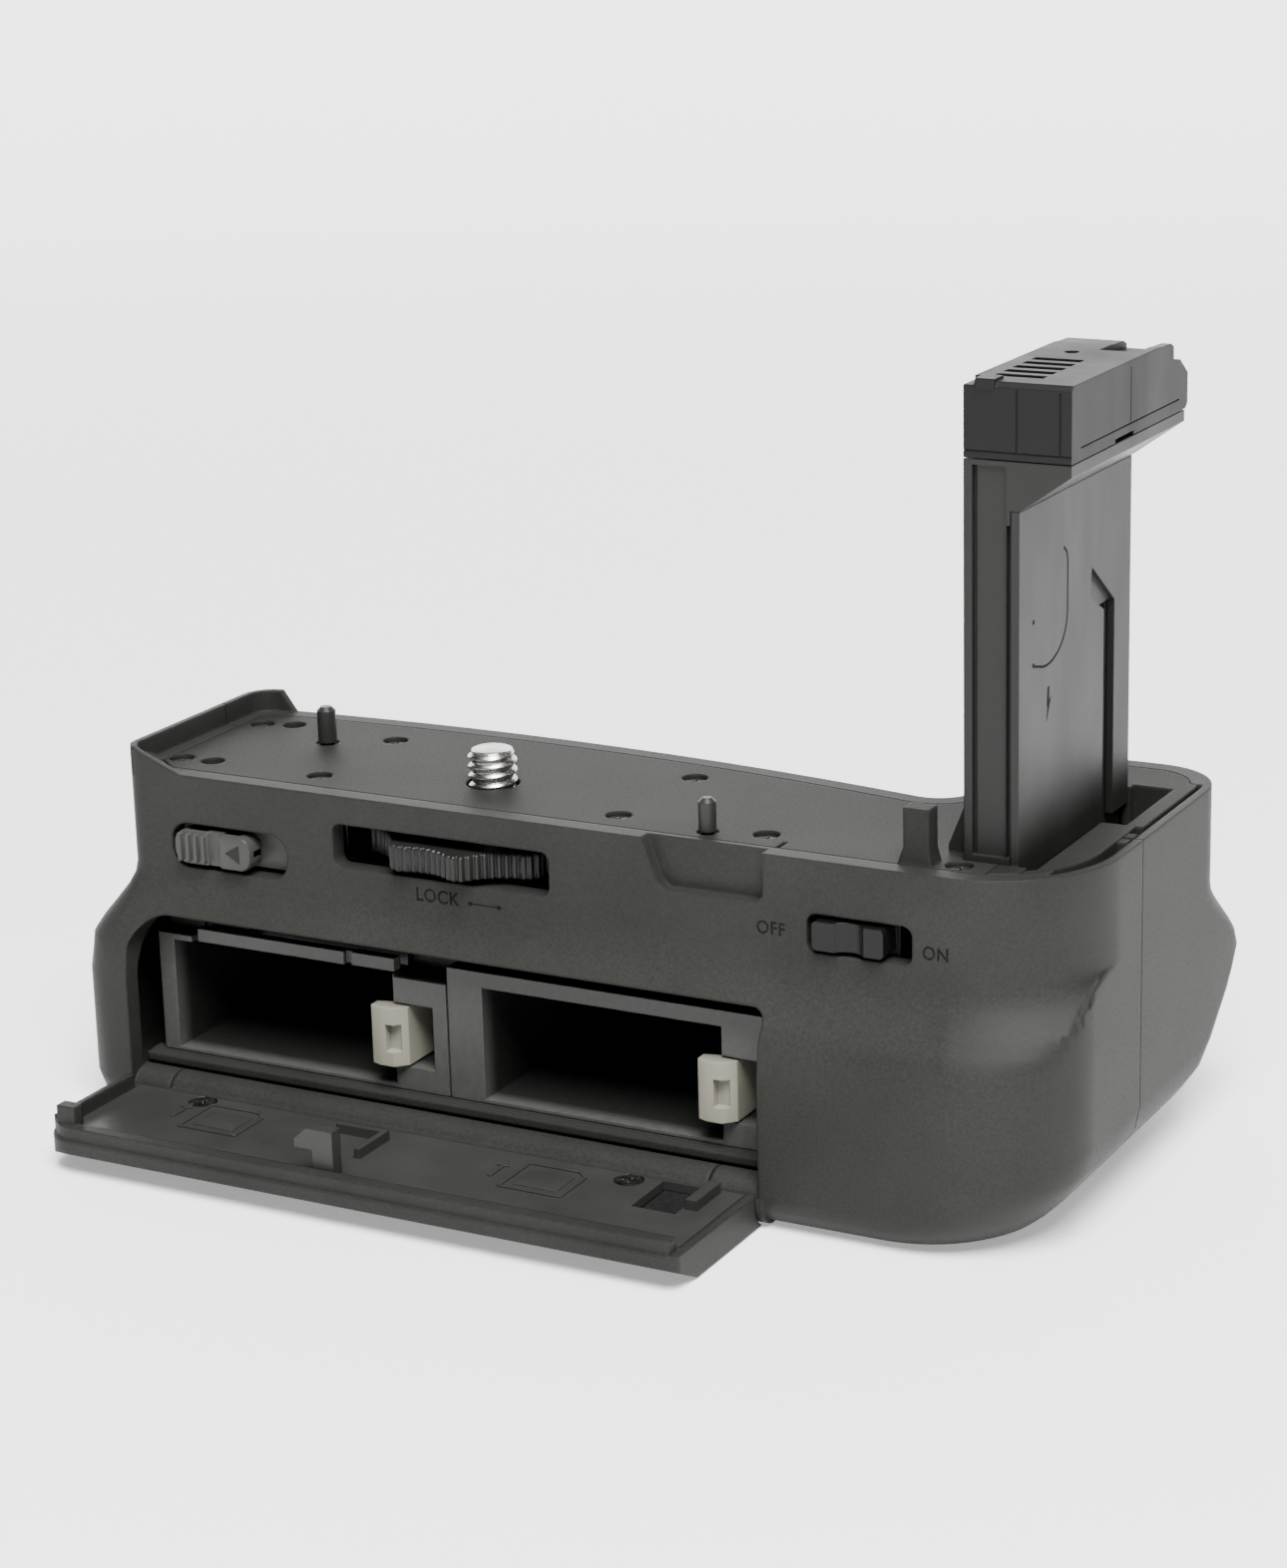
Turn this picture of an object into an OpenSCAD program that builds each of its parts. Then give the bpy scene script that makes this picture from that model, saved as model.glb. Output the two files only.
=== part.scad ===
// Camera battery grip. Origin: the tripod screw's axis at deck level.
// +X runs along the deck to the tower, +Y to the front of the camera, +Z up.

/* [Casing] */
// Wall of both casing shells
wall = 2.6; // [2:0.1:3.2]
// Deck to underside
body_h = 45.8; // [44:0.1:48]
// Deck down to the shoulder crease
shoulder = 12.9; // [11:0.1:14]
// Underside up to the foot of the flare
flare_up = 21.5; // [20:0.1:23]
// Underside up to the front ledge's edge
ledge_up = 27.6; // [26:0.1:29]
// Rear wall of the upper casing, behind the screw axis
rear_y = 13.2; // [12:0.1:15]
// How far the lower casing stands out at the rear
rear_flare = 6; // [4:0.1:7]
// How far the lower casing stands out at the left
side_flare = 5.7; // [4:0.1:7]
// Left end of the upper casing
left_x = 48.5; // [46:0.1:52]
// Right end
right_x = 84.2; // [80:0.1:88]
// Front of the upper casing at the hand side
hand_y = 41.2; // [38:0.1:44]
// How far the hand side stands out beyond the lower front
hand_out = 8.3; // [6:0.1:10]
// Parting line of the two shells
parting_y = 9.6; // [8:0.1:12]
// Seam between touching casing pieces
seam = 0.15; // [0.05:0.05:0.3]

/* [Outline] */
// Rear right corner radius at the deck
rear_right_r = 16; // [10:0.5:20]
// Rear left corner radius at the deck
near_r = 3; // [2.7:0.1:5]
// Front left corner radius at the deck
front_left_r = 4; // [3:0.1:8]
// Front right corner radius at the deck
hand_r = 9; // [6:0.5:12]
// Front left radius of the hand side
hand_left_r = 5.5; // [3:0.5:8]
// Centre of that radius along the deck
hand_left_x = 71.5; // [68:0.5:74]
// Slope of the hand side's flank
flank_a = 65.1; // [50:0.1:80]
// Radius of the bowed front edge
bow_r = 331; // [200:1:600]
// Where the bowed edge stands furthest forward
bow_x = -8.1; // [-20:0.1:5]
// How far forward it stands there
bow_y = 21.35; // [18:0.05:25]
// Radius between bowed edge and flank
valley_r = 5; // [3:0.5:8]
// Centre of that radius
valley_c = [53, 20.76]; // [0:0.01:60]
// Corner radius of the lower casing
low_r = 6; // [4:0.5:8]
// Rear right corner radius of the lower casing
low_right_r = 14; // [8:0.5:18]
// Length of the S-curve from the hand side to the front wall
hand_w = 30; // [15:1:50]
// Radius along the lower edge
edge_r = 4.5; // [2:0.1:6]
// Height of the raised lip at the left end
lip_h = 2.9; // [1:0.1:4]
// Thickness of that lip
lip_t = 0.9; // [0.6:0.1:2]

/* [Deck] */
// Deck plate thickness
plate_t = 2; // [1.5:0.1:3]
// Clear hole for the tripod screw
screw_hole_r = 3.5; // [3.3:0.05:4]
// Rear row of deck screws: places along the deck
rear_screws = [-43.9, -22.3, 21.6, 42]; // [-60:0.1:60]
// Front row of deck screws: places along the deck
front_screws = [-43.4, -22.1, 22.8]; // [-60:0.1:60]
// Rear row, across
rear_row_y = -6.2; // [-9:0.1:0]
// Front row, across
front_row_y = 12; // [8:0.1:16]
// Screw pocket radius
pocket_r = 1.7; // [1.2:0.05:2.5]
// Screw pocket depth
pocket_h = 1.2; // [0.5:0.1:1.6]
// Screw head radius
head_r = 1.5; // [1:0.05:2]
// Deck screw shank radius
shank_r = 0.8; // [0.5:0.05:1]
// Deck screw length below the deck
shank_h = 5; // [3:0.1:7]
// Locating pin at the left: place
pin_left = [-30, 7.6]; // [-60:0.1:60]
// Locating pin at the right: place
pin_right = [34.9, -8]; // [-60:0.1:60]
// Left locating pin radius
pin_left_r = 1.25; // [0.8:0.05:2]
// Right locating pin radius
pin_right_r = 1.1; // [0.8:0.05:2]
// Left locating pin height
pin_left_h = 5; // [3:0.1:7]
// Right locating pin height
pin_right_h = 4.4; // [3:0.1:7]
// Door finger post: near left corner on the deck
post_at = [61.7, -9.8]; // [-60:0.1:70]
// Post width, depth and height
post_size = [3.3, 2.5, 6.8]; // [1:0.1:10]
// Start of the full thread radius above the deck
free_z = 0.3; // [0.2:0.1:0.6]
// How much thinner pins and thread are below their free length
root_in = 0.25; // [0.2:0.05:0.3]
// Clear ring in the deck round each locating pin: width
relief_w = 0.3; // [0.1:0.05:0.5]
// Depth of that ring
relief_h = 0.3; // [0.2:0.1:0.6]
// Start of a pin's full radius above the deck
neck_h = 0.15; // [0.1:0.05:0.3]
// Post root width beyond the post
post_root = 0.5; // [0.2:0.1:1]
// Well beside the tower: depth
well_h = 7; // [4:0.1:9]
// Well: right side
well_x = 80.2; // [78:0.1:81]
// Well: front end
well_y = 31; // [25:0.1:33]
// Well wall
well_t = 1.2; // [0.8:0.1:2]
// Well: right side of its narrow rear part
trough_x = 77; // [76:0.1:79]
// Well: where it widens
trough_y = 14.5; // [10:0.1:20]
// Strip from the tower cover to the rear: left side
strip_x = 72.3; // [71:0.1:73]
// Strip width
strip_w = 3.4; // [3:0.1:4]

/* [Tripod screw] */
// Thread radius, quarter inch
thread_r = 3.175; // [3.175:0.001:3.175]
// Thread above the deck
thread_h = 4.6; // [4:0.1:6]
// Lock wheel radius over the lobes
wheel_r = 15.9; // [14:0.1:17]
// Lobe count
lobes = 10; // [8:1:14]
// Scallop radius between the lobes
scallop_r = 8; // [2:0.1:8]
// Scallop depth
scallop_d = 1.6; // [0.4:0.1:2]
// Wheel top below the deck
wheel_z = 5.1; // [4.5:0.1:6]
// Wheel thickness
wheel_t = 3.3; // [2.5:0.1:4]
// Hub radius
hub_r = 5.5; // [4.5:0.1:7]
// Bracket plate below the wheel
bracket_t = 1.2; // [0.8:0.1:2]
// Bracket length
bracket_l = 39; // [36:0.5:40]
// Bracket width
bracket_w = 14; // [10:0.5:18]
// Wheel window: left end
window_l = -16.2; // [-18:0.1:-15]
// Wheel window: right end
window_r = 15.4; // [14:0.1:18]
// Wheel window: top below the deck
window_top = 3.7; // [3:0.1:4.5]
// Wheel window: height
window_h = 5.7; // [5:0.1:6.5]
// Running clearance between moving bodies
gap = 0.3; // [0.2:0.05:0.5]

/* [Switches] */
// Release slot: left end
rel_x = -41.2; // [-43:0.1:-38]
// Release slot length
rel_l = 17.9; // [15:0.1:20]
// Release slot centre below the deck
rel_z = 9.4; // [8.8:0.1:9.6]
// Release slot height
rel_h = 6; // [4:0.1:6.2]
// Release button: left end at rest
btn_x = -40.4; // [-42:0.1:-38]
// Release button length
btn_l = 12; // [9:0.1:13]
// Release button height
btn_h = 4.6; // [3:0.1:5]
// Release travel
rel_go = 2.8; // [2:0.1:3]
// Power slot: left end
pow_x = 50.6; // [48:0.1:52]
// Power slot length
pow_l = 13.7; // [12:0.1:15]
// Power slot centre below the deck
pow_z = 9.1; // [8.5:0.1:9.6]
// Power slot height
pow_h = 4.9; // [4:0.1:6]
// Power knob: left end at rest
knob_x = 51.6; // [50:0.1:53]
// Power knob length
knob_l = 9.3; // [7:0.1:10]
// Power knob height
knob_h = 3.7; // [3:0.1:4.2]
// How far buttons stand out of the wall
proud = 0.8; // [0.3:0.1:1.5]
// Carrier plates behind the slots
carrier_t = 1.2; // [0.8:0.1:2]
// Thumb recess: left end at the deck
rec_x = 28.4; // [26:0.1:30]
// Thumb recess: left end at its floor
rec_x2 = 30.6; // [28:0.1:32]
// Thumb recess: right end
rec_r = 44.8; // [43:0.1:47]
// Thumb recess: height
rec_h = 6.3; // [5:0.1:8]
// Thumb recess: depth into the wall
rec_d = 1.8; // [1:0.1:2]
// Shutter button: place along, and height over the underside
shut_at = [66, 16.3]; // [0:0.1:80]
// Shutter button radius
shut_r = 4.6; // [3.5:0.1:6]
// Shutter button stands out
shut_out = 1.4; // [1:0.1:2]

/* [Battery bays] */
// Cell width clearance opening
bay_w = 33.9; // [33.5:0.1:35]
// Cell height opening
bay_h = 15; // [14.5:0.1:16]
// Cell depth
bay_d = 49.7; // [49:0.1:50]
// Left side of the left bay
bay_x = -42.5; // [-44:0.1:-41]
// Distance between the two bays
bay_step = 47.1; // [46:0.1:48]
// Underside up to the bay roof
bay_up = 22.7; // [22:0.1:23.5]
// Face of the bay frames behind the screw axis
bay_y = 12.5; // [12:0.1:13]
// Frame roof thickness
roof_t = 2.1; // [1.5:0.1:2.5]
// Frame floor thickness
floor_t = 1.6; // [1:0.1:2]
// Frame end wall
end_t = 1.2; // [1:0.1:2]
// Frame outer walls
side_t = 2.4; // [1.5:0.1:3]
// Latch column width
column_w = 7.85; // [7:0.05:8]
// Latch window: top over the underside
latch_up = 18.9; // [18:0.1:20]
// Latch window height
latch_h = 8.5; // [7:0.1:10]
// Latch window: width left beside the bay
latch_w = 5.8; // [5:0.1:6.5]
// Latch nose reach into the bay
nose = 2.7; // [2:0.1:3.5]
// Latch arm thickness
arm_t = 2; // [1.5:0.1:2.4]
// Latch pivot beyond the screw axis
pivot_y = 5; // [2:0.5:8]
// Latch pivot pin radius
pivot_r = 0.95; // [0.7:0.05:1.2]
// Latch boss radius
boss_r = 2.2; // [1.8:0.1:2.5]

/* [Door] */
// Door left end
door_l = -45.4; // [-46:0.1:-44]
// Door right end
door_r = 46.2; // [45:0.1:47]
// Door height over the underside, closed
door_h = 27.05; // [26:0.05:27.5]
// Upper left corner radius
door_tl_r = 5; // [3:0.1:6]
// Upper right corner radius
door_tr_r = 1.5; // [1:0.1:3]
// Hinge barrel radius
barrel_r = 3; // [2.5:0.1:3.2]
// Hinge pin radius
hinge_r = 1; // [0.8:0.05:1.3]
// Door's barrel: in from the door's left end
barrel_in_l = 5.55; // [4:0.05:8]
// Door's barrel: in from the door's right end
barrel_in_r = 6.85; // [4:0.05:8]
// Inner face of the door, from the hinge axis
door_in = 1.5; // [1:0.1:2]
// Inner panel thickness
panel_t = 1.4; // [1:0.1:2]
// Rim of the door shell around the panel
door_rim = 1.1; // [0.8:0.1:1.5]
// Rear edge lip above the inner face
door_lip = 1.8; // [1:0.1:2]
// Hook stem: left side
hook_x = -5; // [-6:0.1:-4.5]
// Hook stem width
hook_w = 3; // [2:0.1:3.5]
// Hook head reach
hook_n = 2.6; // [2:0.1:3]
// Hook top over the underside, closed
hook_up = 24.9; // [24.5:0.1:25.2]
// Hook thickness
hook_t = 1.9; // [1.5:0.1:2.2]

/* [Tower] */
// Tower left side
tw_x = 67.7; // [66:0.1:69]
// Tower rear face, behind the screw axis
tw_y = -5.8; // [-7:0.1:-5]
// Column front edge
tw_far = 29.7; // [28:0.1:31]
// Column depth with its cover
tw_col = 6.9; // [6:0.1:8]
// Cover thickness
cover_t = 1; // [0.8:0.1:1.5]
// Head width along the deck
head_w = 13.2; // [12:0.1:15]
// Head front end
head_far = 31.7; // [30:0.1:33]
// Head underside above the deck
head_z = 48.2; // [46:0.1:50]
// Tower top above the deck
tower_h = 57.1; // [55:0.1:62]
// Ramp below the head: lower end
ramp_lo = 42.3; // [41:0.1:44]
// Ramp below the head: upper end
ramp_hi = 46.7; // [45:0.1:48]
// Key groove: rear side
key_y = 20.9; // [19:0.1:22]
// Key groove: width
key_w = 3.5; // [3:0.1:4]
// Key groove: top
key_z = 25.4; // [24:0.1:27]
// Key groove: depth
key_d = 2.6; // [1.5:0.1:3]
// Contact slot count
contacts = 5; // [4:1:6]
// Contact slot pitch
contact_p = 2.8; // [2.5:0.1:3]
// Contact slot length
contact_l = 6.1; // [5:0.1:7]

/* [Base] */
// Tripod bush: place
bush_at = [0, 3]; // [-60:0.5:60]
// Tripod bush outer radius
bush_r = 5.5; // [5:0.1:7]
// Tripod bush length
bush_h = 5.4; // [4.5:0.1:5.6]
// Case screw head radius
case_r = 2.2; // [1.8:0.1:3]

/* [Hidden] */
$fn = 64;
e = 0.01;
bottom = -body_h;
flare_h = body_h - flare_up;
ledge_h = body_h - ledge_up;
ledge_f = (ledge_h - shoulder) / (flare_h - shoulder);
bay_z = body_h - bay_up;
latch_z = body_h - latch_up;
door_top = body_h - door_h;
hook_z = body_h - hook_up;
low_y = rear_y + rear_flare;
low_x = left_x + side_flare;
hinge_y = -low_y + barrel_r;
hinge_z = bottom + barrel_r;
open_l = door_l - gap;
open_r = door_r + gap;
barrel_l = door_l + barrel_in_l;
barrel_e = door_r - barrel_in_r;
face_y = hinge_y + door_in;
bay_b = -bay_z - bay_h;
frame_top = -bay_z + roof_t;
frame_bot = bay_b - floor_t;
frame_far = -bay_y + bay_d + end_t;
front_left_y = frame_far + wall + 0.2;
front_right_y = front_left_y + hand_out;
sill_y = -bay_y - 0.4;
sill_z = bay_b - 0.6;
cover_x = tw_x + tw_col - cover_t;
col_x = tw_x + tw_col;
inner_y = -rear_y + wall;
base_in = bottom + wall;
hand_left_c = [hand_left_x, hand_y - hand_left_r];
bow_a0 = atan2(valley_c[1] - bow_y + bow_r, valley_c[0] - bow_x);
front_left_c = [-left_x + front_left_r, bow_y - bow_r
  + sqrt(pow(bow_r - front_left_r, 2) - pow(-left_x + front_left_r - bow_x, 2))];
bow_a1 = atan2(front_left_c[1] - bow_y + bow_r, front_left_c[0] - bow_x);
post_z = [door_top + 1.25, door_top + 3.05];
post_x = [-43, -40.3];
shut_y = front_right_y - 1;
shut_z = bottom + shut_at[1];
board_z = -pow_z - pow_h / 2 - 2.4;

function arc(c, r, a0, a1, n, i0 = 0, i1 = 0) = [for (i = [i0:n - i1]) let (a = a0 + (a1 - a0) * i / n)
  c + r * [cos(a), sin(a)]];
function smooth(u) = u <= 0 ? 0 : u >= 1 ? 1 : u * u * (3 - 2 * u);

// Outline of the upper casing inset by t: corners, hand side, valley and bowed front edge in turn
function upper(t) = concat(
  arc([-left_x + near_r, -rear_y + near_r], near_r - t, 180, 270, 5),
  arc([right_x - rear_right_r, -rear_y + rear_right_r], rear_right_r - t, 270, 360, 15),
  arc([right_x - hand_r, hand_y - hand_r], hand_r - t, 0, 90, 9),
  arc(hand_left_c, hand_left_r - t, 90, 90 + flank_a, 5),
  arc(valley_c, valley_r + t, flank_a - 90, bow_a0 - 180, 6),
  arc([bow_x, bow_y - bow_r], bow_r - t, bow_a0, bow_a1, 13, 1, 1),
  arc(front_left_c, front_left_r - t, bow_a1, 180, 5));

// Outline of the lower casing: v is [height over the underside, right inset, hand inset, hand radius,
// inset of the rear and left]
function lower(t, v) = let (e0 = edge_in(v[0]), i = e0 + v[4], r = v[1], cr = v[3],
    hy = front_right_y - v[2], fy = front_left_y - e0, xa = right_x - cr - r - 0.6,
    xb = -low_x + low_r + i + 0.6) concat(
  arc([-low_x + low_r + i, -low_y + low_r + i], low_r - t, 180, 270, 5),
  arc([right_x - low_right_r - r, -low_y + low_right_r + i], low_right_r - t, 270, 360, 15),
  arc([right_x - cr - r, hy - cr], cr - t, 0, 90, 9),
  [for (j = [0:24]) let (w = j < 6 ? j / 5 * 0.11 : j < 13 ? 0.11 + (j - 5) / 7 * 0.12 :
    0.23 + (j - 12) / 12 * 0.77, x = xa + (xb - xa) * w, u = 1 - (xa - x) / hand_w,
    k = u <= 0 || u >= 1 ? 0 : 6 * u * (1 - u) * (hy - fy) / hand_w)
    [x, fy + (hy - fy) * smooth(u) - t * sqrt(1 + k * k)]],
  arc([-low_x + low_r + i, fy - low_r], low_r - t, 90, 180, 5));

function edge_in(z) = z > edge_r ? 0 : edge_r - sqrt(edge_r * edge_r - pow(edge_r - z, 2));

// How far point i of the outline has moved out at the share f of the flare's height: a soft curve in and
// out. At the rear right corner its foot climbs; the hand side is rounder; the front is a ledge.
function reach(i, f) = let (a = (i - 6) * 6, dr = rear_right_r - low_right_r,
    d = dr * (sin(a) - 1) + (rear_flare + dr) * cos(a), h = min(1, f / ledge_f), s = 1 - pow(1 - f, 1.6))
  i < 6 ? smooth(f) : i < 22 ? smooth(f * rear_flare / max(d, 0.01)) :
  i < 32 ? smooth(f) + (s - smooth(f)) * smooth((i - 24) / 7) : s + (h - s) * smooth((i - 31) / 12);
function flare(t, f) = let (p = upper(t), q = lower(t, [flare_up, 0, 0, 6, 0])) [for (i = [0:len(p) - 1])
  let (k = reach(i, f), d = q[i] - p[i]) p[i] + [d[0] * (i < 22 ? k : f), d[1] * k]];

// Height above the underside, right inset, hand side inset, hand corner radius, rear and left inset
levels = [[flare_up, 0, 0, 6, 0.3], [18.9, 0, 0.2, 7.7, 0], [16.8, 0, 0.5, 9.4, 0], [11.8, 0, 1.5, 15, 0],
  [8.8, 0.6, 2.6, 16.4, 0], [6.8, 1.9, 3.5, 17.2, 0], [4.5, 3.8, 5.2, 18, 0], [2.6, 5.7, 6.9, 18, 0],
  [1.1, 7.4, 8.8, 18, 0], [0.3, 8.4, 10.2, 18, 0], [0, 9, 11, 18, 0]];

// How much higher the same outline lies inside, so that sloping walls keep their thickness
skin_lift = [-1.2, -0.5, 0, 0.6, 1.2, 1.5, 1.7, 1.9];

// Hollow loft, open at the top: outlines of equal point count, each level [height, outline]
module hollow_loft(outer, inner) {
  v = concat(outer, inner);
  n = len(v[0][1]);
  m = len(outer);
  q = len(v);
  polyhedron(points = [for (l = v) each [for (c = l[1]) [c[0], c[1], l[0]]]], faces = concat(
    [[for (i = [0:n - 1]) (m - 1) * n + i], [for (i = [n - 1:-1:0]) (q - 1) * n + i]],
    [for (k = [0:m - 2], i = [0:n - 1]) let (j = (i + 1) % n)
      each [[k * n + i, k * n + j, (k + 1) * n + j], [k * n + i, (k + 1) * n + j, (k + 1) * n + i]]],
    [for (k = [m:q - 2], i = [0:n - 1]) let (j = (i + 1) % n)
      each [[k * n + i, (k + 1) * n + j, k * n + j], [k * n + i, (k + 1) * n + i, (k + 1) * n + j]]],
    [for (i = [0:n - 1]) let (j = (i + 1) % n) [i, m * n + j, j]],
    [for (i = [0:n - 1]) let (j = (i + 1) % n) [i, m * n + i, m * n + j]]));
}

module casing() {
  t = wall;
  hollow_loft(concat([[0, upper(0)], [-shoulder, upper(0)]],
    [for (f = [0.13, 0.29, ledge_f, 0.64, 0.8]) [-shoulder - (flare_h - shoulder) * f, flare(0, f)]],
    [for (v = levels) [bottom + v[0], lower(0, v)]]),
    concat([[0, upper(t)], [-shoulder - 1.2, upper(t)], [-ledge_h - 1.9, flare(t, ledge_f)]],
    [for (i = [0:7]) [bottom + levels[i][0] + skin_lift[i], lower(t, levels[i])]],
    [[bottom + wall, lower(t, levels[8])]]));
}

module upper_outline(t) {
  polygon(upper(t));
}

// Raised lip around the left end of the deck
module lip() {
  intersection() {
    translate([0, 0, -e]) linear_extrude(lip_h + e) difference() {
      upper_outline(0);
      upper_outline(lip_t);
    }
    union() {
      translate([0, 5, 0]) rotate([90, 0, 0]) linear_extrude(30)
        polygon([[-left_x - 1, -1], [-left_x - 1, lip_h], [-left_x + 1.5, lip_h], [-39.5, 0],
          [-39.5, -1]]);
      translate([0, 40, 0]) rotate([90, 0, 0]) linear_extrude(36)
        polygon([[-left_x - 1, -1], [-left_x - 1, lip_h], [-44.6, lip_h], [-42.6, 0],
          [-42.6, -1]]);
    }
  }
  polyhedron([[-39.6, -rear_y + 0.02, 0], [-left_x + lip_t - 0.1, -6.5, 0],
    [-left_x + 1.2, -rear_y + 0.4, lip_h - 0.1], [-left_x + 1.2, -rear_y + 0.4, -1],
    [-39.6, -rear_y + 0.02, -1], [-left_x + lip_t - 0.1, -6.5, -1]],
    [[0, 2, 1], [4, 5, 3], [0, 3, 2], [0, 4, 3], [2, 5, 1], [2, 3, 5], [0, 5, 4], [0, 1, 5]]);
}

// Long slot along X through the rear wall
module slot(x, z, l, h, r, d0, d1) {
  translate([0, d1, 0]) rotate([90, 0, 0]) linear_extrude(d1 - d0) {
    translate([x + r, z - h / 2]) square([l - 2 * r, h]);
    translate([x, z - h / 2 + r]) square([l, h - 2 * r]);
    for (i = [x + r, x + l - r], j = [z - h / 2 + r, z + h / 2 - r]) translate([i, j]) circle(r = r);
  }
}

// Door outline in the closed position, grown by g, seen along Y
module door_outline(g, low) {
  translate([door_l - g, low]) square([door_r - door_l + 2 * g, -door_top - door_tl_r - low]);
  translate([door_l + door_tl_r, low])
    square([door_r - door_l - door_tl_r - door_tr_r, -door_top + g - low]);
  translate([door_r - door_tr_r - 1, low]) square([door_tr_r + 1 + g, -door_top - door_tr_r - low]);
  translate([door_l + door_tl_r, -door_top - door_tl_r]) circle(r = door_tl_r + g);
  translate([door_r - door_tr_r, -door_top - door_tr_r]) circle(r = door_tr_r + g);
}

module along_x(x, l) {
  translate([x, 0, 0]) rotate([90, 0, 90]) linear_extrude(l) children();
}

// Turns a closed door piece to its place at rest, open
module opened() {
  translate([0, hinge_y, hinge_z]) rotate([90, 0, 0]) translate([0, -hinge_y, -hinge_z]) children();
}

module right_gap() {
  intersection() {
    translate([0, 0, -5]) linear_extrude(6) upper_outline(1.1);
    translate([79, -8, -6]) cube([9, hand_y + 1, 8]);
  }
}

module shell_half(rear) {
  difference() {
    intersection() {
      union() {
        casing();
        lip();
      }
      if (rear) translate([-90, -60, -60]) cube([200, 60 + parting_y, 80]);
      else translate([-90, parting_y + seam, -60]) cube([200, 80, 80]);
    }
    right_gap();
  }
}

module rear_shell() color("dimgray") {
  difference() {
    union() {
      difference() {
        shell_half(true);
        translate([0, sill_y, 0]) rotate([90, 0, 0]) linear_extrude(20) door_outline(gap, bottom - 2);
      }
      translate([open_l - 1, sill_y, bottom]) cube([open_r - open_l + 2, 1.7, sill_z - bottom]);
      along_x(open_l - 1, open_r - open_l + 2) polygon([[sill_y + 1.7, sill_z],
        [face_y + gap, sill_z - 0.2], [face_y + gap, sill_z - 1.2], [sill_y + 0.1, sill_z - 3]]);
      for (x = [-38, -13, 12, 37]) translate([x, -10, base_in - e]) cube([1.6, 10 + parting_y,
        frame_bot - base_in - seam]);
      for (x = [rel_x - 1, rel_x + rel_l - 1.4]) translate([x, inner_y - e, -rel_z - rel_h / 2 - 0.9])
        cube([2.4, 3.2, 0.9]);
    }
    translate([barrel_l - gap, 0, 0]) along_x(0, barrel_e - barrel_l + 2 * gap)
      translate([hinge_y, hinge_z]) circle(r = barrel_r + gap);
    for (x = [open_l + e, barrel_e + gap - e])
      along_x(x, x < 0 ? barrel_l - gap - open_l : open_r - barrel_e - gap)
      translate([hinge_y, hinge_z]) difference() {
        translate([-10, -10]) square([10, 20]);
        circle(r = barrel_r);
      }
    slot(window_l, -window_top - window_h / 2, window_r - window_l, window_h, 1.2, -20, inner_y + 1);
    slot(rel_x, -rel_z, rel_l, rel_h, 2.6, -20, inner_y + 1);
    slot(pow_x, -pow_z, pow_l, pow_h, 1.3, -20, inner_y + 1);
    translate([bush_at[0], bush_at[1], bottom - 1]) cylinder(r = bush_r + 0.05, h = 10);
    translate([0, -rear_y + rec_d, 0]) rotate([90, 0, 0]) linear_extrude(10)
      polygon([[rec_x, 1], [rec_x, 0], [rec_x2 - 0.3, -rec_h + 1], [rec_x2 + 0.8, -rec_h],
        [rec_r - 1, -rec_h], [rec_r, -rec_h + 1], [rec_r, 1]]);
  }
  for (x = [open_l - 0.6, barrel_e + gap]) difference() {
    along_x(x, x < 0 ? barrel_l - gap - x : open_r - barrel_e - gap + 0.6)
      translate([hinge_y, hinge_z]) circle(r = barrel_r);
    along_x(x - 1, 20) translate([hinge_y, hinge_z]) circle(r = hinge_r + 0.05);
  }
}

module front_shell() color("dimgray") {
  difference() {
    union() {
      shell_half(false);
      for (x = [-38, -13, 12, 37]) translate([x, parting_y + seam, base_in - e]) cube([1.6, 24,
        frame_bot - base_in - seam]);
      translate([shut_at[0], shut_y - 9, shut_z]) rotate([-90, 0, 0]) cylinder(r = shut_r + 2, h = 8.6);
    }
    translate([shut_at[0], shut_y - 10, shut_z]) rotate([-90, 0, 0]) cylinder(r = shut_r + gap, h = 20);
    case_holes();
  }
}

module case_holes() {
  for (x = [-40, 68]) translate([x, 30, bottom - 1]) {
    cylinder(r = case_r + 0.2, h = 2.2);
    cylinder(r = 1.1, h = 5);
  }
}

module deck_holes() {
  for (x = rear_screws) translate([x, rear_row_y, 0]) children();
  for (x = front_screws) translate([x, front_row_y, 0]) children();
  translate([68.2, -8.2, 0]) children();
}

// Trough beside the tower, grown by t: narrow at the rear, wide at the front
module trough(t, z, h) {
  translate([col_x + gap - t, -14, z]) cube([trough_x - col_x - gap + 2 * t, 14 + trough_y + 1, h]);
  translate([col_x + gap - t, trough_y - t, z])
    cube([well_x - col_x - gap + 2 * t, well_y - trough_y + 2 * t, h]);
}

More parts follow.
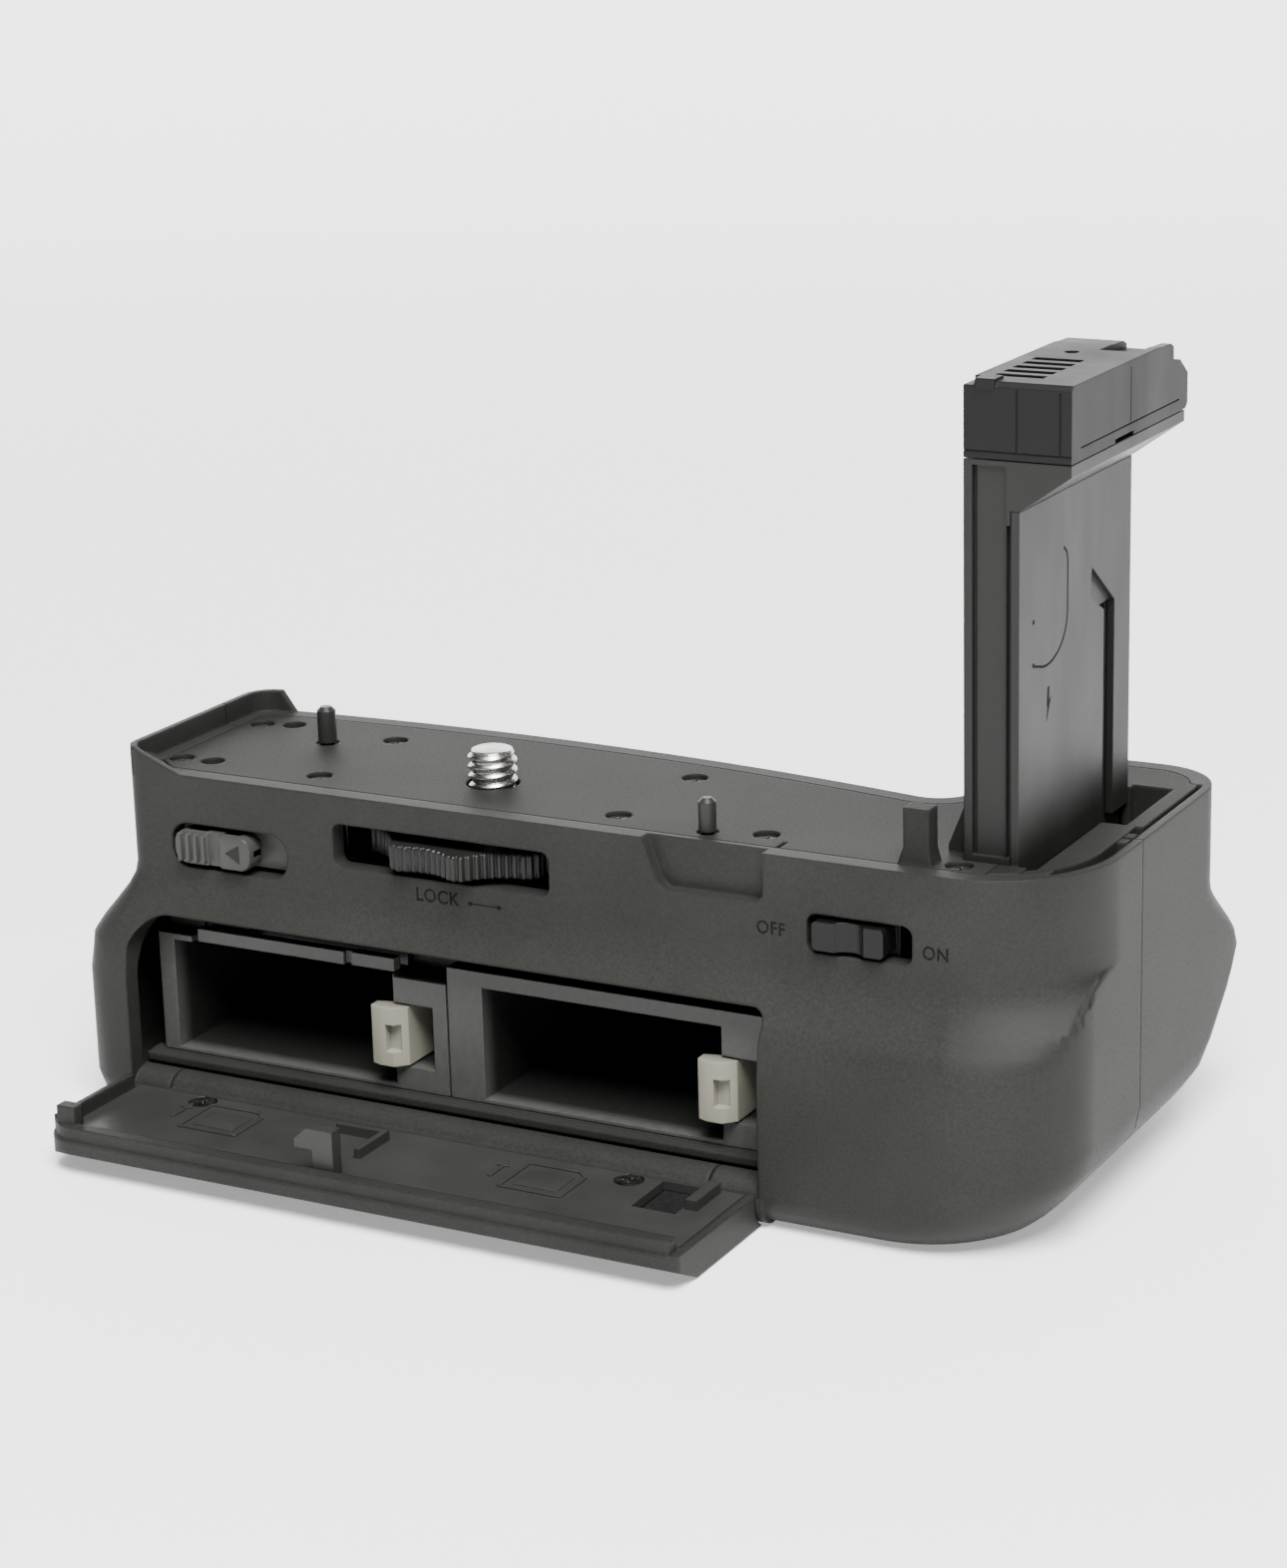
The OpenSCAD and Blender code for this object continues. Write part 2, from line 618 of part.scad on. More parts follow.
module top_plate() color("dimgray") {
  t = wall + seam;
  difference() {
    union() {
      translate([0, 0, -plate_t]) linear_extrude(plate_t) upper_outline(t);
      intersection() {
        translate([0, 0, -well_h]) linear_extrude(well_h) upper_outline(t);
        trough(well_t, -well_h, well_h);
      }
      intersection() {
        translate([0, 0, -plate_t]) linear_extrude(plate_t) upper_outline(1.8);
        translate([79 + seam, trough_y, -plate_t]) cube([8, hand_y - 7 - seam - trough_y, plate_t]);
      }
      for (y = [8.2, 10.6]) translate([81, y, -plate_t]) cube([1.6, 1.6, plate_t - 0.2]);
      translate([post_at[0], post_at[1], -e]) cube([post_size[0], post_size[1], post_size[2]]);
      translate([post_at[0], post_at[1], 0]) hull() {
        translate([-post_root, -post_root, -e]) cube([post_size[0] + 2 * post_root,
          post_size[1] + post_root, 0.1]);
        translate([0, 0, 1.8]) cube([post_size[0], post_size[1], 0.1]);
      }
      translate([0, -2.4, 0]) rotate([90, 0, 0]) linear_extrude(1.4)
        polygon([[64.9, -e], [64.9, 1], [tw_x - seam, 7.5], [tw_x - seam, -e]]);
    }
    intersection() {
      translate([0, 0, -well_h + well_t]) linear_extrude(well_h + 1) upper_outline(t + 0.8);
      trough(0, -well_h + well_t, well_h + 1);
    }
    translate([tw_x - seam, tw_y - seam, -20]) cube([tw_col + seam + gap, tw_far - tw_y + 2 * seam, 30]);
    translate([strip_x - seam, -20, -plate_t - e]) cube([strip_w + 2 * seam, 20 + tw_y, plate_t + 1]);
    translate([0, 0, -5]) linear_extrude(10) polygon([[-39.6 + seam * 5, -rear_y],
      [-left_x, -6.5 + seam * 5], [-left_x, -rear_y]]);
    translate([0, 0, -5]) cylinder(r = screw_hole_r, h = 10);
    deck_holes() {
      translate([0, 0, -pocket_h]) cylinder(r = pocket_r, h = 3);
      translate([0, 0, -4]) cylinder(r = shank_r + 0.05, h = 4);
    }
    for (p = [[-39.2, -5.9], [-39, 13.2]]) translate([p[0], p[1], -1.4]) cylinder(r = 1.6, h = 3);
    pin_hole(pin_left, pin_left_r);
    pin_hole(pin_right, pin_right_r);
    translate([45.2, -20, -0.7]) cube([0.6, 12, 2]);
  }
}

module deck_screws() color("silver") deck_holes() {
  translate([0, 0, -pocket_h]) difference() {
    cylinder(r = head_r, h = 0.7);
    for (a = [0, 90]) rotate([0, 0, a]) translate([-0.9, -0.15, 0.3]) cube([1.8, 0.3, 1]);
  }
  translate([0, 0, -shank_h]) cylinder(r = shank_r, h = shank_h - pocket_h + e);
}

module pin_hole(at, r) translate([at[0], at[1], 0]) {
  translate([0, 0, -5]) cylinder(r = r - root_in, h = 10);
  translate([0, 0, -relief_h]) cylinder(r = r + relief_w, h = 3);
}

module pin(at, r, h) {
  translate([at[0], at[1], -plate_t]) cylinder(r = r - root_in, h = plate_t + 1);
  translate([at[0], at[1], neck_h]) cylinder(r = r, h = h - 0.5 - neck_h);
  translate([at[0], at[1], h - 0.5 - e]) cylinder(r1 = r, r2 = r - 0.5, h = 0.5);
}

module locating_pins() color("gray") {
  pin(pin_left, pin_left_r, pin_left_h);
  pin(pin_right, pin_right_r, pin_right_h);
}

module tower_column() color("dimgray") difference() {
  union() {
    translate([tw_x, tw_y, -9]) cube([tw_col - cover_t - seam, tw_far - tw_y, head_z + 9 - seam]);
    translate([0, head_far - 1, 0]) rotate([90, 0, 0]) linear_extrude(head_far - 1 - tw_y)
      polygon([[tw_x, ramp_lo - 2], [cover_x - seam, ramp_lo - 2], [cover_x - seam, ramp_lo],
        [col_x, ramp_lo], [tw_x + head_w, ramp_hi], [tw_x + head_w, head_z - seam], [tw_x, head_z - seam]]);
  }
  translate([tw_x + 1.5, tw_y - 1, 0.8]) cube([tw_col - 3.2, 1.4, head_z - 1.6]);
  translate([tw_x + 1.05, tw_y - 1, 0.8]) cube([0.46, 1.9, head_z - 1.6]);
  translate([cover_x - 0.6, tw_y - 1, 0.8]) cube([0.45 + e, 1.9, ramp_lo - 2.5]);
  translate([col_x - key_d, key_y, -20]) cube([key_d, key_w, 20 + key_z]);
  translate([-1, tw_far, -e]) cube([100, 5, ramp_lo - 1]);
}

module tower_cover() color("dimgray") difference() {
  union() {
    translate([cover_x, tw_y, -plate_t]) cube([cover_t, tw_far - tw_y, plate_t + ramp_lo - 0.04]);
    translate([cover_x, tw_y - 1, -plate_t + 0.1]) cube([cover_t, 1 + e, plate_t - 0.1]);
    intersection() {
      translate([strip_x, -20, -plate_t + 0.1]) cube([strip_w, 20 + tw_y - seam, plate_t - 0.1]);
      translate([0, 0, -plate_t]) linear_extrude(plate_t + 1) upper_outline(wall + seam);
    }
  }
  translate([cover_x - 1, key_y, -20]) cube([5, key_w, 20 + key_z]);
  translate([cover_x + 0.35, 0, 0]) rotate([90, 0, 90]) linear_extrude(3)
    polygon([[key_y - 5, 27.6], [key_y - 4, 31], [key_y + key_w, key_z], [key_y, key_z - 0.5]]);
}

module tower_head() color("dimgray") {
  difference() {
    along_x(tw_x, head_w) polygon([[tw_y, head_z], [tw_y, tower_h - 0.6], [tw_y + 0.6, tower_h],
      [21.8, tower_h], [22.4, tower_h - 0.1], [25.8, tower_h - 0.2], [26.8, tower_h - 0.7],
      [26.8, tower_h - 2.3], [29, tower_h - 2.6], [head_far, tower_h - 4.6], [head_far, head_z + 0.6],
      [head_far - 0.7, head_z]]);
    for (i = [0:contacts - 1]) translate([tw_x + 2.1, -2.1 + i * contact_p, tower_h - 3])
      cube([contact_l, 1.6, 4]);
    translate([tw_x + 7.2, 17.8, tower_h - 1.2]) cube([head_w - 8.4, 30, 2]);
    translate([tw_x + 4.7, 15.4, tower_h - 2]) cylinder(r = 0.9, h = 4);
    translate([tw_x - 1, tw_y - 1, tower_h - 0.5]) cube([2.2, 4.4, 2]);
    for (x = [6.4, 11.7]) translate([tw_x + x, tw_y - 1, head_z + 0.9])
      cube([0.22, 1.15, tower_h - head_z - 1.7]);
    translate([tw_x - 1, tw_y - 1, head_z + 0.75]) cube([head_w + 0.9, 1.12, 0.2]);
    translate([tw_x + head_w - 0.15, 12.5, head_z + 1.6]) cube([1, 0.22, tower_h - head_z - 2.4]);
    translate([tw_x + head_w - 0.15, -3, head_z + 1.4]) cube([1, head_far, 0.2]);
    translate([tw_x + head_w - 0.6, 7.7, head_z - e]) cube([1, 5.9, 0.5]);
  }
  translate([tw_x + 1.5, tw_y - 0.15, tower_h - 1]) cube([2.4, 2.6, 1.35]);
}

module tower_contacts() color("gold")
  for (i = [0:contacts - 1]) translate([tw_x + 2.3, -1.55 + i * contact_p, tower_h - 3])
    cube([contact_l - 0.4, 0.5, 1.4]);

module tripod_screw() color("silver") {
  translate([0, 0, -wheel_z - wheel_t - 3]) cylinder(r = 2.4, h = 4 + wheel_t);
  translate([0, 0, -wheel_z - 1]) cylinder(r = thread_r - root_in, h = wheel_z + 2);
  translate([0, 0, free_z]) cylinder(r = thread_r, h = thread_h - 0.6 - free_z);
  translate([0, 0, thread_h - 0.6 - e]) cylinder(r1 = thread_r, r2 = thread_r - 0.6, h = 0.6);
}

module lock_wheel() color("dimgray") difference() {
  union() {
    translate([0, 0, -wheel_z - wheel_t]) cylinder(r = wheel_r, h = wheel_t, $fn = 120);
    translate([0, 0, -wheel_z - wheel_t - 0.5]) cylinder(r = hub_r, h = wheel_t + 2);
  }
  for (i = [0:lobes - 1]) rotate([0, 0, -96 + i * 360 / lobes])
    translate([wheel_r + scallop_r - scallop_d, 0, -20]) cylinder(r = scallop_r, h = 30);
  translate([0, 0, -wheel_z - 1]) cylinder(r = thread_r - root_in, h = 20);
  translate([0, 0, -30]) cylinder(r = 2.4, h = 40);
}

module screw_bracket() color("silver") {
  z = -wheel_z - wheel_t - 0.5 - gap;
  difference() {
    translate([-bracket_l / 2, -bracket_w / 2, z - bracket_t]) cube([bracket_l, bracket_w, bracket_t]);
    translate([0, 0, z - 5]) cylinder(r = 2.7, h = 10);
  }
  for (x = [-bracket_l / 2, bracket_l / 2 - 1.5]) translate([x, -bracket_w / 2, z - e])
    cube([1.5, bracket_w, -plate_t - z - seam + e]);
}

module release_button() color("dimgray") {
  slot(btn_x, -rel_z, btn_l, btn_h, 1.9, -rear_y - proud, inner_y + gap + 0.1);
  for (i = [0:3]) translate([btn_x + 0.9 + i * 1.25, -rear_y - proud - 0.5, -rel_z - btn_h / 2 + 0.5])
    cube([0.6, 0.6, btn_h - 1]);
  translate([btn_x - 0.2, inner_y + gap, -rel_z - btn_h / 2 - 0.1])
    cube([rel_x + rel_l - btn_x + 0.8, carrier_t, btn_h + 1.6]);
}

module catch_bar() color("dimgray") {
  z0 = -bay_z + 0.25;
  h = 1.75;
  translate([-38.6, -bay_y, z0]) cube([22.7, 1.6, h]);
  translate([-14.7, -bay_y, z0 + 0.1]) cube([6.4, 1.6, h]);
  translate([-38.6, -bay_y + 0.7, z0 + 0.1]) cube([30, 0.9, h - 0.1]);
  translate([-37.8, -bay_y + 0.7, z0 + 0.1]) cube([6, inner_y + gap + carrier_t + bay_y - 0.7, h - 0.1]);
  translate([-37.8, inner_y + gap, z0 + h - 0.5])
    cube([6, carrier_t, -z0 - h + 0.5 - rel_z - btn_h / 2 - 0.1]);
}

module power_knob() color("dimgray") {
  difference() {
    slot(knob_x, -pow_z, knob_l, knob_h, 0.6, -rear_y - proud, inner_y + gap + 0.1);
    translate([knob_x + knob_l * 0.52, -rear_y - proud - 1.4, -20]) cylinder(r = 2.4, h = 20);
  }
  translate([knob_x - 0.6, inner_y + gap, -pow_z - knob_h / 2 - 1.2])
    cube([knob_l + 1.2, carrier_t, knob_h + 2.4]);
}

module circuit_board() color("darkgreen") {
  difference() {
    translate([46.5, -8.4, board_z - 1.2]) cube([19.5, 19, 1.2]);
    for (x = [49, 63.5]) translate([x, -4, -20]) cylinder(r = 1, h = 10);
  }
  for (x = [49, 63.5]) translate([x, 7, board_z - e]) cylinder(r = 1.6, h = -board_z - plate_t - seam);
}

module frame(dx, w_l, w_r) {
  x0 = bay_x + dx;
  x1 = x0 + bay_w;
  fy = -bay_y;
  difference() {
    union() {
      translate([x0 - w_l, fy, sill_z + 0.1])
        cube([w_l + bay_w + w_r, bay_d + end_t, frame_top - sill_z - 0.1]);
      translate([x0 - w_l, sill_y + 2, frame_bot]) cube([w_l + bay_w + w_r, bay_d + end_t - 1.6, 3]);
    }
    translate([x0, fy - 1, bay_b]) cube([bay_w, bay_d + 1, bay_h]);
    translate([x1 - 1, fy - 1, -latch_z - latch_h])
      cube([latch_w + 1, pivot_y + bay_y + boss_r + 1.6, latch_h]);
    translate([x1 - 25, frame_far - end_t - 1, -bay_z - 8]) cube([16, 5, 5]);
  }
  translate([x1 + 2.6, pivot_y, -latch_z - latch_h - e]) cylinder(r = pivot_r, h = latch_h + 2 * e);
}

module left_frame() color("dimgray") difference() {
  frame(0, side_t, column_w);
  translate([-39.6, -bay_y - 1, -bay_z - e]) cube([60, 1 + bay_y + inner_y + carrier_t + 2 * gap, 10]);
  translate([-60, -bay_y - 1, -bay_z + 0.8]) cube([21, 4, 10]);
  translate([bay_x + bay_w + 0.1, -bay_y - 1, -bay_z - 0.35]) cube([20, 6.2, 10]);
}

module right_frame() color("dimgray") difference() {
  frame(bay_step, bay_step - bay_w - column_w - seam * 2, 6.2);
  translate([bay_x + bay_step + bay_w + 5, -bay_y - 1, -latch_z - 7.9]) cube([0.8, 2, 6.6]);
}

module bay_contacts(dx) color("gold") {
  x1 = bay_x + dx + bay_w;
  translate([x1 - 25 + seam, frame_far - end_t + seam, -bay_z - 8 + seam])
    cube([16 - 2 * seam, end_t - seam, 5 - 2 * seam]);
  for (i = [0:3]) translate([x1 - 23.4 + i * 3.6, frame_far - end_t - 0.8, -bay_z - 7]) cube([1.4, 1.2, 3]);
}

module left_contacts() bay_contacts(0);
module right_contacts() bay_contacts(bay_step);

module latch(dx) color("beige") difference() {
  x = bay_x + dx + bay_w;
  fy = -bay_y - 1.7;
  z = -latch_z - latch_h + gap;
  translate([0, 0, z]) linear_extrude(latch_h - 2 * gap) difference() {
    union() {
      polygon([[x - nose, fy + 0.5], [x - nose + 1.3, fy], [x + 0.7, fy], [x + 0.2 + arm_t, fy + 1.5],
        [x + 0.2 + arm_t, -6], [x + 3.8, 0], [x + 3.8, pivot_y], [x + 1.2, pivot_y], [x + 0.2, 0],
        [x + 0.2, fy + 2.9], [x - nose, fy + 2.1]]);
      translate([x + 2.6, pivot_y]) circle(r = boss_r);
    }
    translate([x + 2.6, pivot_y]) circle(r = pivot_r + 0.25);
  }
  translate([x - 0.4, fy - 1, z + 2]) cube([1.9, 2.3, 3.6]);
}

module left_latch() latch(0);
module right_latch() latch(bay_step);

// Door pieces are drawn closed, then turned open
module door_body() {
  intersection() {
    along_x(door_l - 1, door_r - door_l + 2) union() {
      polygon([[-low_y, hinge_z], [-low_y, -flare_h], [-rear_y - rear_flare * (door_top - shoulder)
        / (flare_h - shoulder), -door_top], [face_y, -door_top], [face_y, hinge_z + 2.4],
        [hinge_y, hinge_z + 2.4], [hinge_y, hinge_z]]);
      translate([hinge_y, hinge_z]) circle(r = barrel_r);
    }
    translate([0, 20, 0]) rotate([90, 0, 0]) linear_extrude(60) door_outline(0, bottom - 2);
  }
}

module door_cut_ends() {
  for (x = [door_l - 1, barrel_e]) along_x(x, x < 0 ? barrel_l - door_l + 1 : 10)
    translate([hinge_y, hinge_z]) union() {
      circle(r = barrel_r + gap);
      translate([-10, -barrel_r - 1]) square([20, barrel_r + 1]);
    }
}

module panel_outline(g) {
  translate([door_l + door_rim + g, hinge_z + barrel_r + gap + g])
    square([door_r - door_l - 2 * (door_rim + g), -door_top - 3.45 - hinge_z - barrel_r - gap - 2 * g]);
}

module door_shell() color("dimgray") opened() difference() {
  union() {
    difference() {
      door_body();
      translate([0, 10, 0]) rotate([90, 0, 0]) linear_extrude(10 - face_y + panel_t) panel_outline(0);
    }
    intersection() {
      translate([door_l + 1, face_y - 0.5, -door_top - 2.2])
        cube([door_r - door_l - 2, 0.5 + door_lip, 2.2]);
      translate([0, 20, 0]) rotate([90, 0, 0]) linear_extrude(60) door_outline(-0.4, bottom);
    }
    translate([post_x[0], face_y - 0.1, -post_z[1]])
      cube([post_x[1] - post_x[0], 4.3, post_z[1] - post_z[0]]);
    translate([door_l + 0.2, face_y - 0.1, hinge_z + 4.6]) cube([0.85, door_lip + 0.1, 16]);
  }
  translate([hook_x - 0.05, face_y - 0.9, -hook_z - hook_t - 0.05])
    cube([hook_w + 0.1, 10, hook_t + 0.1]);
  translate([door_r - 12, face_y - panel_t - 1, hinge_z + 3.8]) cube([5.6, 1.2, 8.2]);
  door_cut_ends();
  along_x(-60, 120) translate([hinge_y, hinge_z]) circle(r = hinge_r + 0.15);
}

module door_panel() color("dimgray") opened() difference() {
  union() {
    translate([0, face_y, 0]) rotate([90, 0, 0]) linear_extrude(panel_t - seam) panel_outline(seam);
    translate([-11, face_y - 0.1, hinge_z + 6.5]) cube([7.4, 1.5, 0.8]);
    translate([-4.4, face_y - 0.1, hinge_z + 6.5]) cube([0.8, 1.5, 7]);
    translate([door_r - 5.6, face_y - 0.1, hinge_z + 4.2]) cube([1.5, 1.5, 6.4]);
  }
  translate([door_r - 12.2, face_y - 3, hinge_z + 3.6]) cube([6, 5, 8.6]);
  door_screw_places() {
    translate([0, 0, -1.7]) cylinder(r = 1.9, h = 3);
    translate([0, 0, -5]) cylinder(r = 0.75, h = 5);
  }
  translate([hook_x - 0.05, face_y - 0.9, -hook_z - hook_t - 0.05])
    cube([hook_w + 0.1, 3, hook_t + 0.1]);
}

// Places of the two door screws, with their heads along +Z
module door_screw_places() {
  for (p = [-33, 30]) translate([p, face_y + 1, hinge_z + 5.2]) rotate([-90, 0, 0]) children();
}

module door_hook() color("dimgray") opened() {
  hy = -bay_y + 1.6 + gap;
  translate([hook_x, face_y - 0.8, -hook_z - hook_t]) cube([hook_w, hy + 2.8 - face_y + 0.8, hook_t]);
  translate([0, 0, -hook_z - hook_t]) linear_extrude(hook_t)
    polygon([[hook_x + e, hy], [hook_x - hook_n, hy], [hook_x - hook_n, hy + 1.2], [hook_x - 0.8, hy + 2.8],
      [hook_x + e, hy + 2.8]]);
}

module door_screws() color("silver") opened() door_screw_places() translate([0, 0, -1.65]) difference() {
  cylinder(r = 1.7, h = 0.5);
  for (a = [0, 90]) rotate([0, 0, a]) translate([-1, -0.15, 0.25]) cube([2, 0.3, 0.35]);
}

module hinge_pins() color("silver") {
  along_x(open_l + 0.1, 9) translate([hinge_y, hinge_z]) circle(r = hinge_r);
  along_x(open_r - 0.1 - 9, 9) translate([hinge_y, hinge_z]) circle(r = hinge_r);
}

module tripod_bush() color("silver") translate([bush_at[0], bush_at[1], bottom]) difference() {
  cylinder(r = bush_r, h = bush_h);
  translate([0, 0, -1]) cylinder(r = thread_r, h = bush_h + 2);
}

module case_screws() color("silver") for (x = [-40, 68]) translate([x, 30, bottom + 0.3]) {
  difference() {
    cylinder(r = case_r, h = 0.9);
    for (a = [0, 90]) rotate([0, 0, a]) translate([-1.2, -0.2, -1]) cube([2.4, 0.4, 1.4]);
  }
  cylinder(r = 0.95, h = 4);
}

module shutter_button() color("dimgray")
  translate([shut_at[0], shut_y - 8, shut_z]) rotate([-90, 0, 0]) {
  cylinder(r = shut_r, h = 8 + shut_out - 0.5);
  translate([0, 0, 8 + shut_out - 0.5 - e]) cylinder(r1 = shut_r, r2 = shut_r - 0.7, h = 0.5);
}

rear_shell();
front_shell();
top_plate();
deck_screws();
locating_pins();
tower_column();
tower_cover();
tower_head();
tower_contacts();
tripod_screw();
lock_wheel();
screw_bracket();
release_button();
catch_bar();
power_knob();
circuit_board();
left_frame();
right_frame();
left_contacts();
right_contacts();
left_latch();
right_latch();
door_shell();
door_panel();
door_hook();
door_screws();
hinge_pins();
tripod_bush();
case_screws();
shutter_button();
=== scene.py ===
"""Looks of the camera battery grip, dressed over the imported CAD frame."""

import math

import bmesh
import bpy
from mathutils import Matrix, Vector


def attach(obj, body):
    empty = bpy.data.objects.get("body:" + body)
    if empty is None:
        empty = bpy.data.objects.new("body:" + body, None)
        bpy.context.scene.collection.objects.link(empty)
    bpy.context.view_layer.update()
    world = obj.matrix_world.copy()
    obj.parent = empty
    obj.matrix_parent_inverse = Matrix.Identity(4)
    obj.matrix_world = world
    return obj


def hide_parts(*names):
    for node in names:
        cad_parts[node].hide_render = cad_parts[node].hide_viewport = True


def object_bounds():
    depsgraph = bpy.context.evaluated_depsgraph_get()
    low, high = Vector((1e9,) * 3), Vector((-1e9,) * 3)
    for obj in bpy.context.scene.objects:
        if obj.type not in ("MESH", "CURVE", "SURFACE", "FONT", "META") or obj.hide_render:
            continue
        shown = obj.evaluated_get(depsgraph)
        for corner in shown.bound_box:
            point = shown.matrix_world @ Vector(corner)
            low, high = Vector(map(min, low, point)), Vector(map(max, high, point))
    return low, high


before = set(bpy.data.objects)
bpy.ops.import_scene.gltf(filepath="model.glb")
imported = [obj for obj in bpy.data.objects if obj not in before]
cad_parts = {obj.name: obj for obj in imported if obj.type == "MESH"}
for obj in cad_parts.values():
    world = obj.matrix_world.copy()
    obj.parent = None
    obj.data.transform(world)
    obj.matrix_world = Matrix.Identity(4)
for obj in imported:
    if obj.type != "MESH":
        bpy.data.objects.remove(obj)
CAD_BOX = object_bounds()

bl_info = {
    "name": "Battery grip looks",
    "version": (1, 0, 0),
    "blender": (4, 5, 0),
    "location": "3D View > Sidebar > Grip",
    "description": "Dresses the packed battery grip with its finishes and fine detail",
    "category": "Object",
}

MM = 0.001
SQUARE = math.radians(90)

# Faces of the frame that prints and signs lie on, in millimetres from its origin
NEAR_WALL = -13.2
COVER_FACE = 74.6
LINING_TOP = -41.3
BUTTON_LEVEL = -9.4
PRINT = 0.02

# Where the painted shade on the cell frames' plastic starts and where it is darkest, in metres along Y
MOUTH_Y, SHADE_DARKEST_Y = -0.0116, -0.0095


class Finish:
    """A node material built up step by step."""

    def __init__(self, name, edge=0.00022):
        self.edge = edge
        self.mat = bpy.data.materials.new(name)
        self.mat.use_nodes = True
        self.tree = self.mat.node_tree
        self.shader = self.tree.nodes["Principled BSDF"]
        self.coords = self.tree.nodes.new("ShaderNodeTexCoord").outputs["Object"]
        self.height = None

    def node(self, kind, **values):
        made = self.tree.nodes.new(kind)
        for key, value in values.items():
            if hasattr(made, key) and key not in made.inputs:
                setattr(made, key, value)
            else:
                made.inputs[key].default_value = value
        return made

    def link(self, a, b):
        self.tree.links.new(a, b)

    def noise(self, scale, detail=2.0, rough=0.5, stretch=None):
        source = self.coords
        if stretch:
            mapping = self.node("ShaderNodeMapping")
            mapping.inputs["Scale"].default_value = stretch
            self.link(self.coords, mapping.inputs["Vector"])
            source = mapping.outputs["Vector"]
        n = self.node("ShaderNodeTexNoise", Scale=scale, Detail=detail, Roughness=rough)
        self.link(source, n.inputs["Vector"])
        return n.outputs["Fac"]

    def ramp(self, fac, stops):
        r = self.tree.nodes.new("ShaderNodeValToRGB")
        while len(r.color_ramp.elements) < len(stops):
            r.color_ramp.elements.new(0.5)
        for e, (at, value) in zip(r.color_ramp.elements, stops):
            e.position = at
            e.color = (*value, 1.0) if hasattr(value, "__len__") else (value, value, value, 1.0)
        self.link(fac, r.inputs["Fac"])
        return r.outputs["Color"]

    def mix(self, fac, a, b, kind="MIX"):
        m = self.tree.nodes.new("ShaderNodeMix")
        m.data_type = "RGBA"
        m.blend_type = kind
        for key, value in (("Factor", fac), ("A", a), ("B", b)):
            kept = "VALUE" if key == "Factor" else "RGBA"
            s = next(i for i in m.inputs if i.name == key and i.type == kept)
            if hasattr(value, "is_linked"):
                self.link(value, s)
            else:
                s.default_value = value if key == "Factor" else (*value, 1.0)
        return next(o for o in m.outputs if o.type == "RGBA")

    def edges(self):
        """Normals that turn softly over every edge, as a mould leaves them."""
        return self.node("ShaderNodeBevel", samples=6, Radius=self.edge).outputs["Normal"]

    def bump(self, height, strength, distance):
        b = self.node("ShaderNodeBump", Strength=strength, Distance=distance)
        self.link(height, b.inputs["Height"])
        self.link(self.height or self.edges(), b.inputs["Normal"])
        self.height = b.outputs["Normal"]
        self.link(self.height, self.shader.inputs["Normal"])

    def done(self, **values):
        for key, value in values.items():
            s = self.shader.inputs[key.replace("_", " ")]
            if hasattr(value, "is_linked"):
                self.link(value, s)
            else:
                s.default_value = (*value, 1.0) if hasattr(value, "__len__") else value
        return self.mat


def shade(colour, k):
    return tuple(min(1.0, c * k) for c in colour)


def moulded_plastic(name, colour, rough=0.52, grain=2600.0, depth=0.35, spread=0.12):
    """Dark moulded plastic with the fine spark-eroded grain of the tool, faintly mottled."""
    f = Finish(name, 0.0005)
    fine = f.noise(grain, 3.0, 0.6)
    coarse = f.noise(60.0, 2.0, 0.5)
    tint = f.ramp(coarse, [(0.3, shade(colour, 1 - spread)), (0.7, shade(colour, 1 + spread))])
    speck = f.ramp(fine, [(0.35, 0.86), (0.65, 1.12)])
    base = f.mix(1.0, tint, speck, "MULTIPLY")
    gloss = f.ramp(fine, [(0.3, rough - 0.06), (0.7, rough + 0.08)])
    f.bump(fine, depth, 0.00006)
    f.bump(coarse, 0.08, 0.0004)
    return f.done(Base_Color=base, Roughness=gloss, Specular_IOR_Level=0.1)


def satin_plastic(name, colour, rough=0.4, grain=1400.0, depth=0.12):
    """Smoother moulded plastic of the small parts, with faint flow marks."""
    f = Finish(name)
    fine = f.noise(grain, 2.0, 0.5)
    flow = f.noise(90.0, 3.0, 0.6, (1.0, 1.0, 0.3))
    base = f.ramp(flow, [(0.3, shade(colour, 0.88)), (0.7, shade(colour, 1.12))])
    gloss = f.ramp(flow, [(0.3, rough - 0.05), (0.7, rough + 0.07)])
    f.bump(fine, depth, 0.00004)
    return f.done(Base_Color=base, Roughness=gloss, Specular_IOR_Level=0.2)


def bay_plastic(name, colour, rough=0.45):
    """Plastic of the cell frames: plain at the mouth, and nearly black a few millimetres in, a painted shade for
    the dark inside of the bays.
    """
    f = Finish(name)
    fine = f.noise(1400.0, 2.0, 0.5)
    place = f.node("ShaderNodeSeparateXYZ")
    f.link(f.coords, place.inputs[0])
    painted_shade_depth = f.node("ShaderNodeMapRange", **{"From Min": MOUTH_Y, "From Max": SHADE_DARKEST_Y})
    f.link(place.outputs["Y"], painted_shade_depth.inputs["Value"])
    face = f.ramp(fine, [(0.3, shade(colour, 0.9)), (0.7, shade(colour, 1.1))])
    # Painted shade: deeper in the bay the colour falls to 0.22 of the frames' own
    base = f.mix(painted_shade_depth.outputs["Result"], face, shade(colour, 0.22))
    gloss = f.ramp(fine, [(0.3, rough - 0.05), (0.7, rough + 0.07)])
    f.bump(fine, 0.12, 0.00004)
    return f.done(Base_Color=base, Roughness=gloss, Specular_IOR_Level=0.35)


def turned_metal(name, colour, rough=0.25, scratch=900.0, axis=(1.0, 1.0, 14.0)):
    """Plated metal with fine turning lines and small stains."""
    f = Finish(name)
    lines = f.noise(scratch, 2.0, 0.5, axis)
    stain = f.noise(220.0, 3.0, 0.6)
    base = f.ramp(stain, [(0.3, shade(colour, 0.86)), (0.7, shade(colour, 1.06))])
    gloss = f.ramp(lines, [(0.3, rough - 0.08), (0.7, rough + 0.12)])
    f.bump(lines, 0.15, 0.00003)
    return f.done(Base_Color=base, Metallic=1.0, Roughness=gloss)


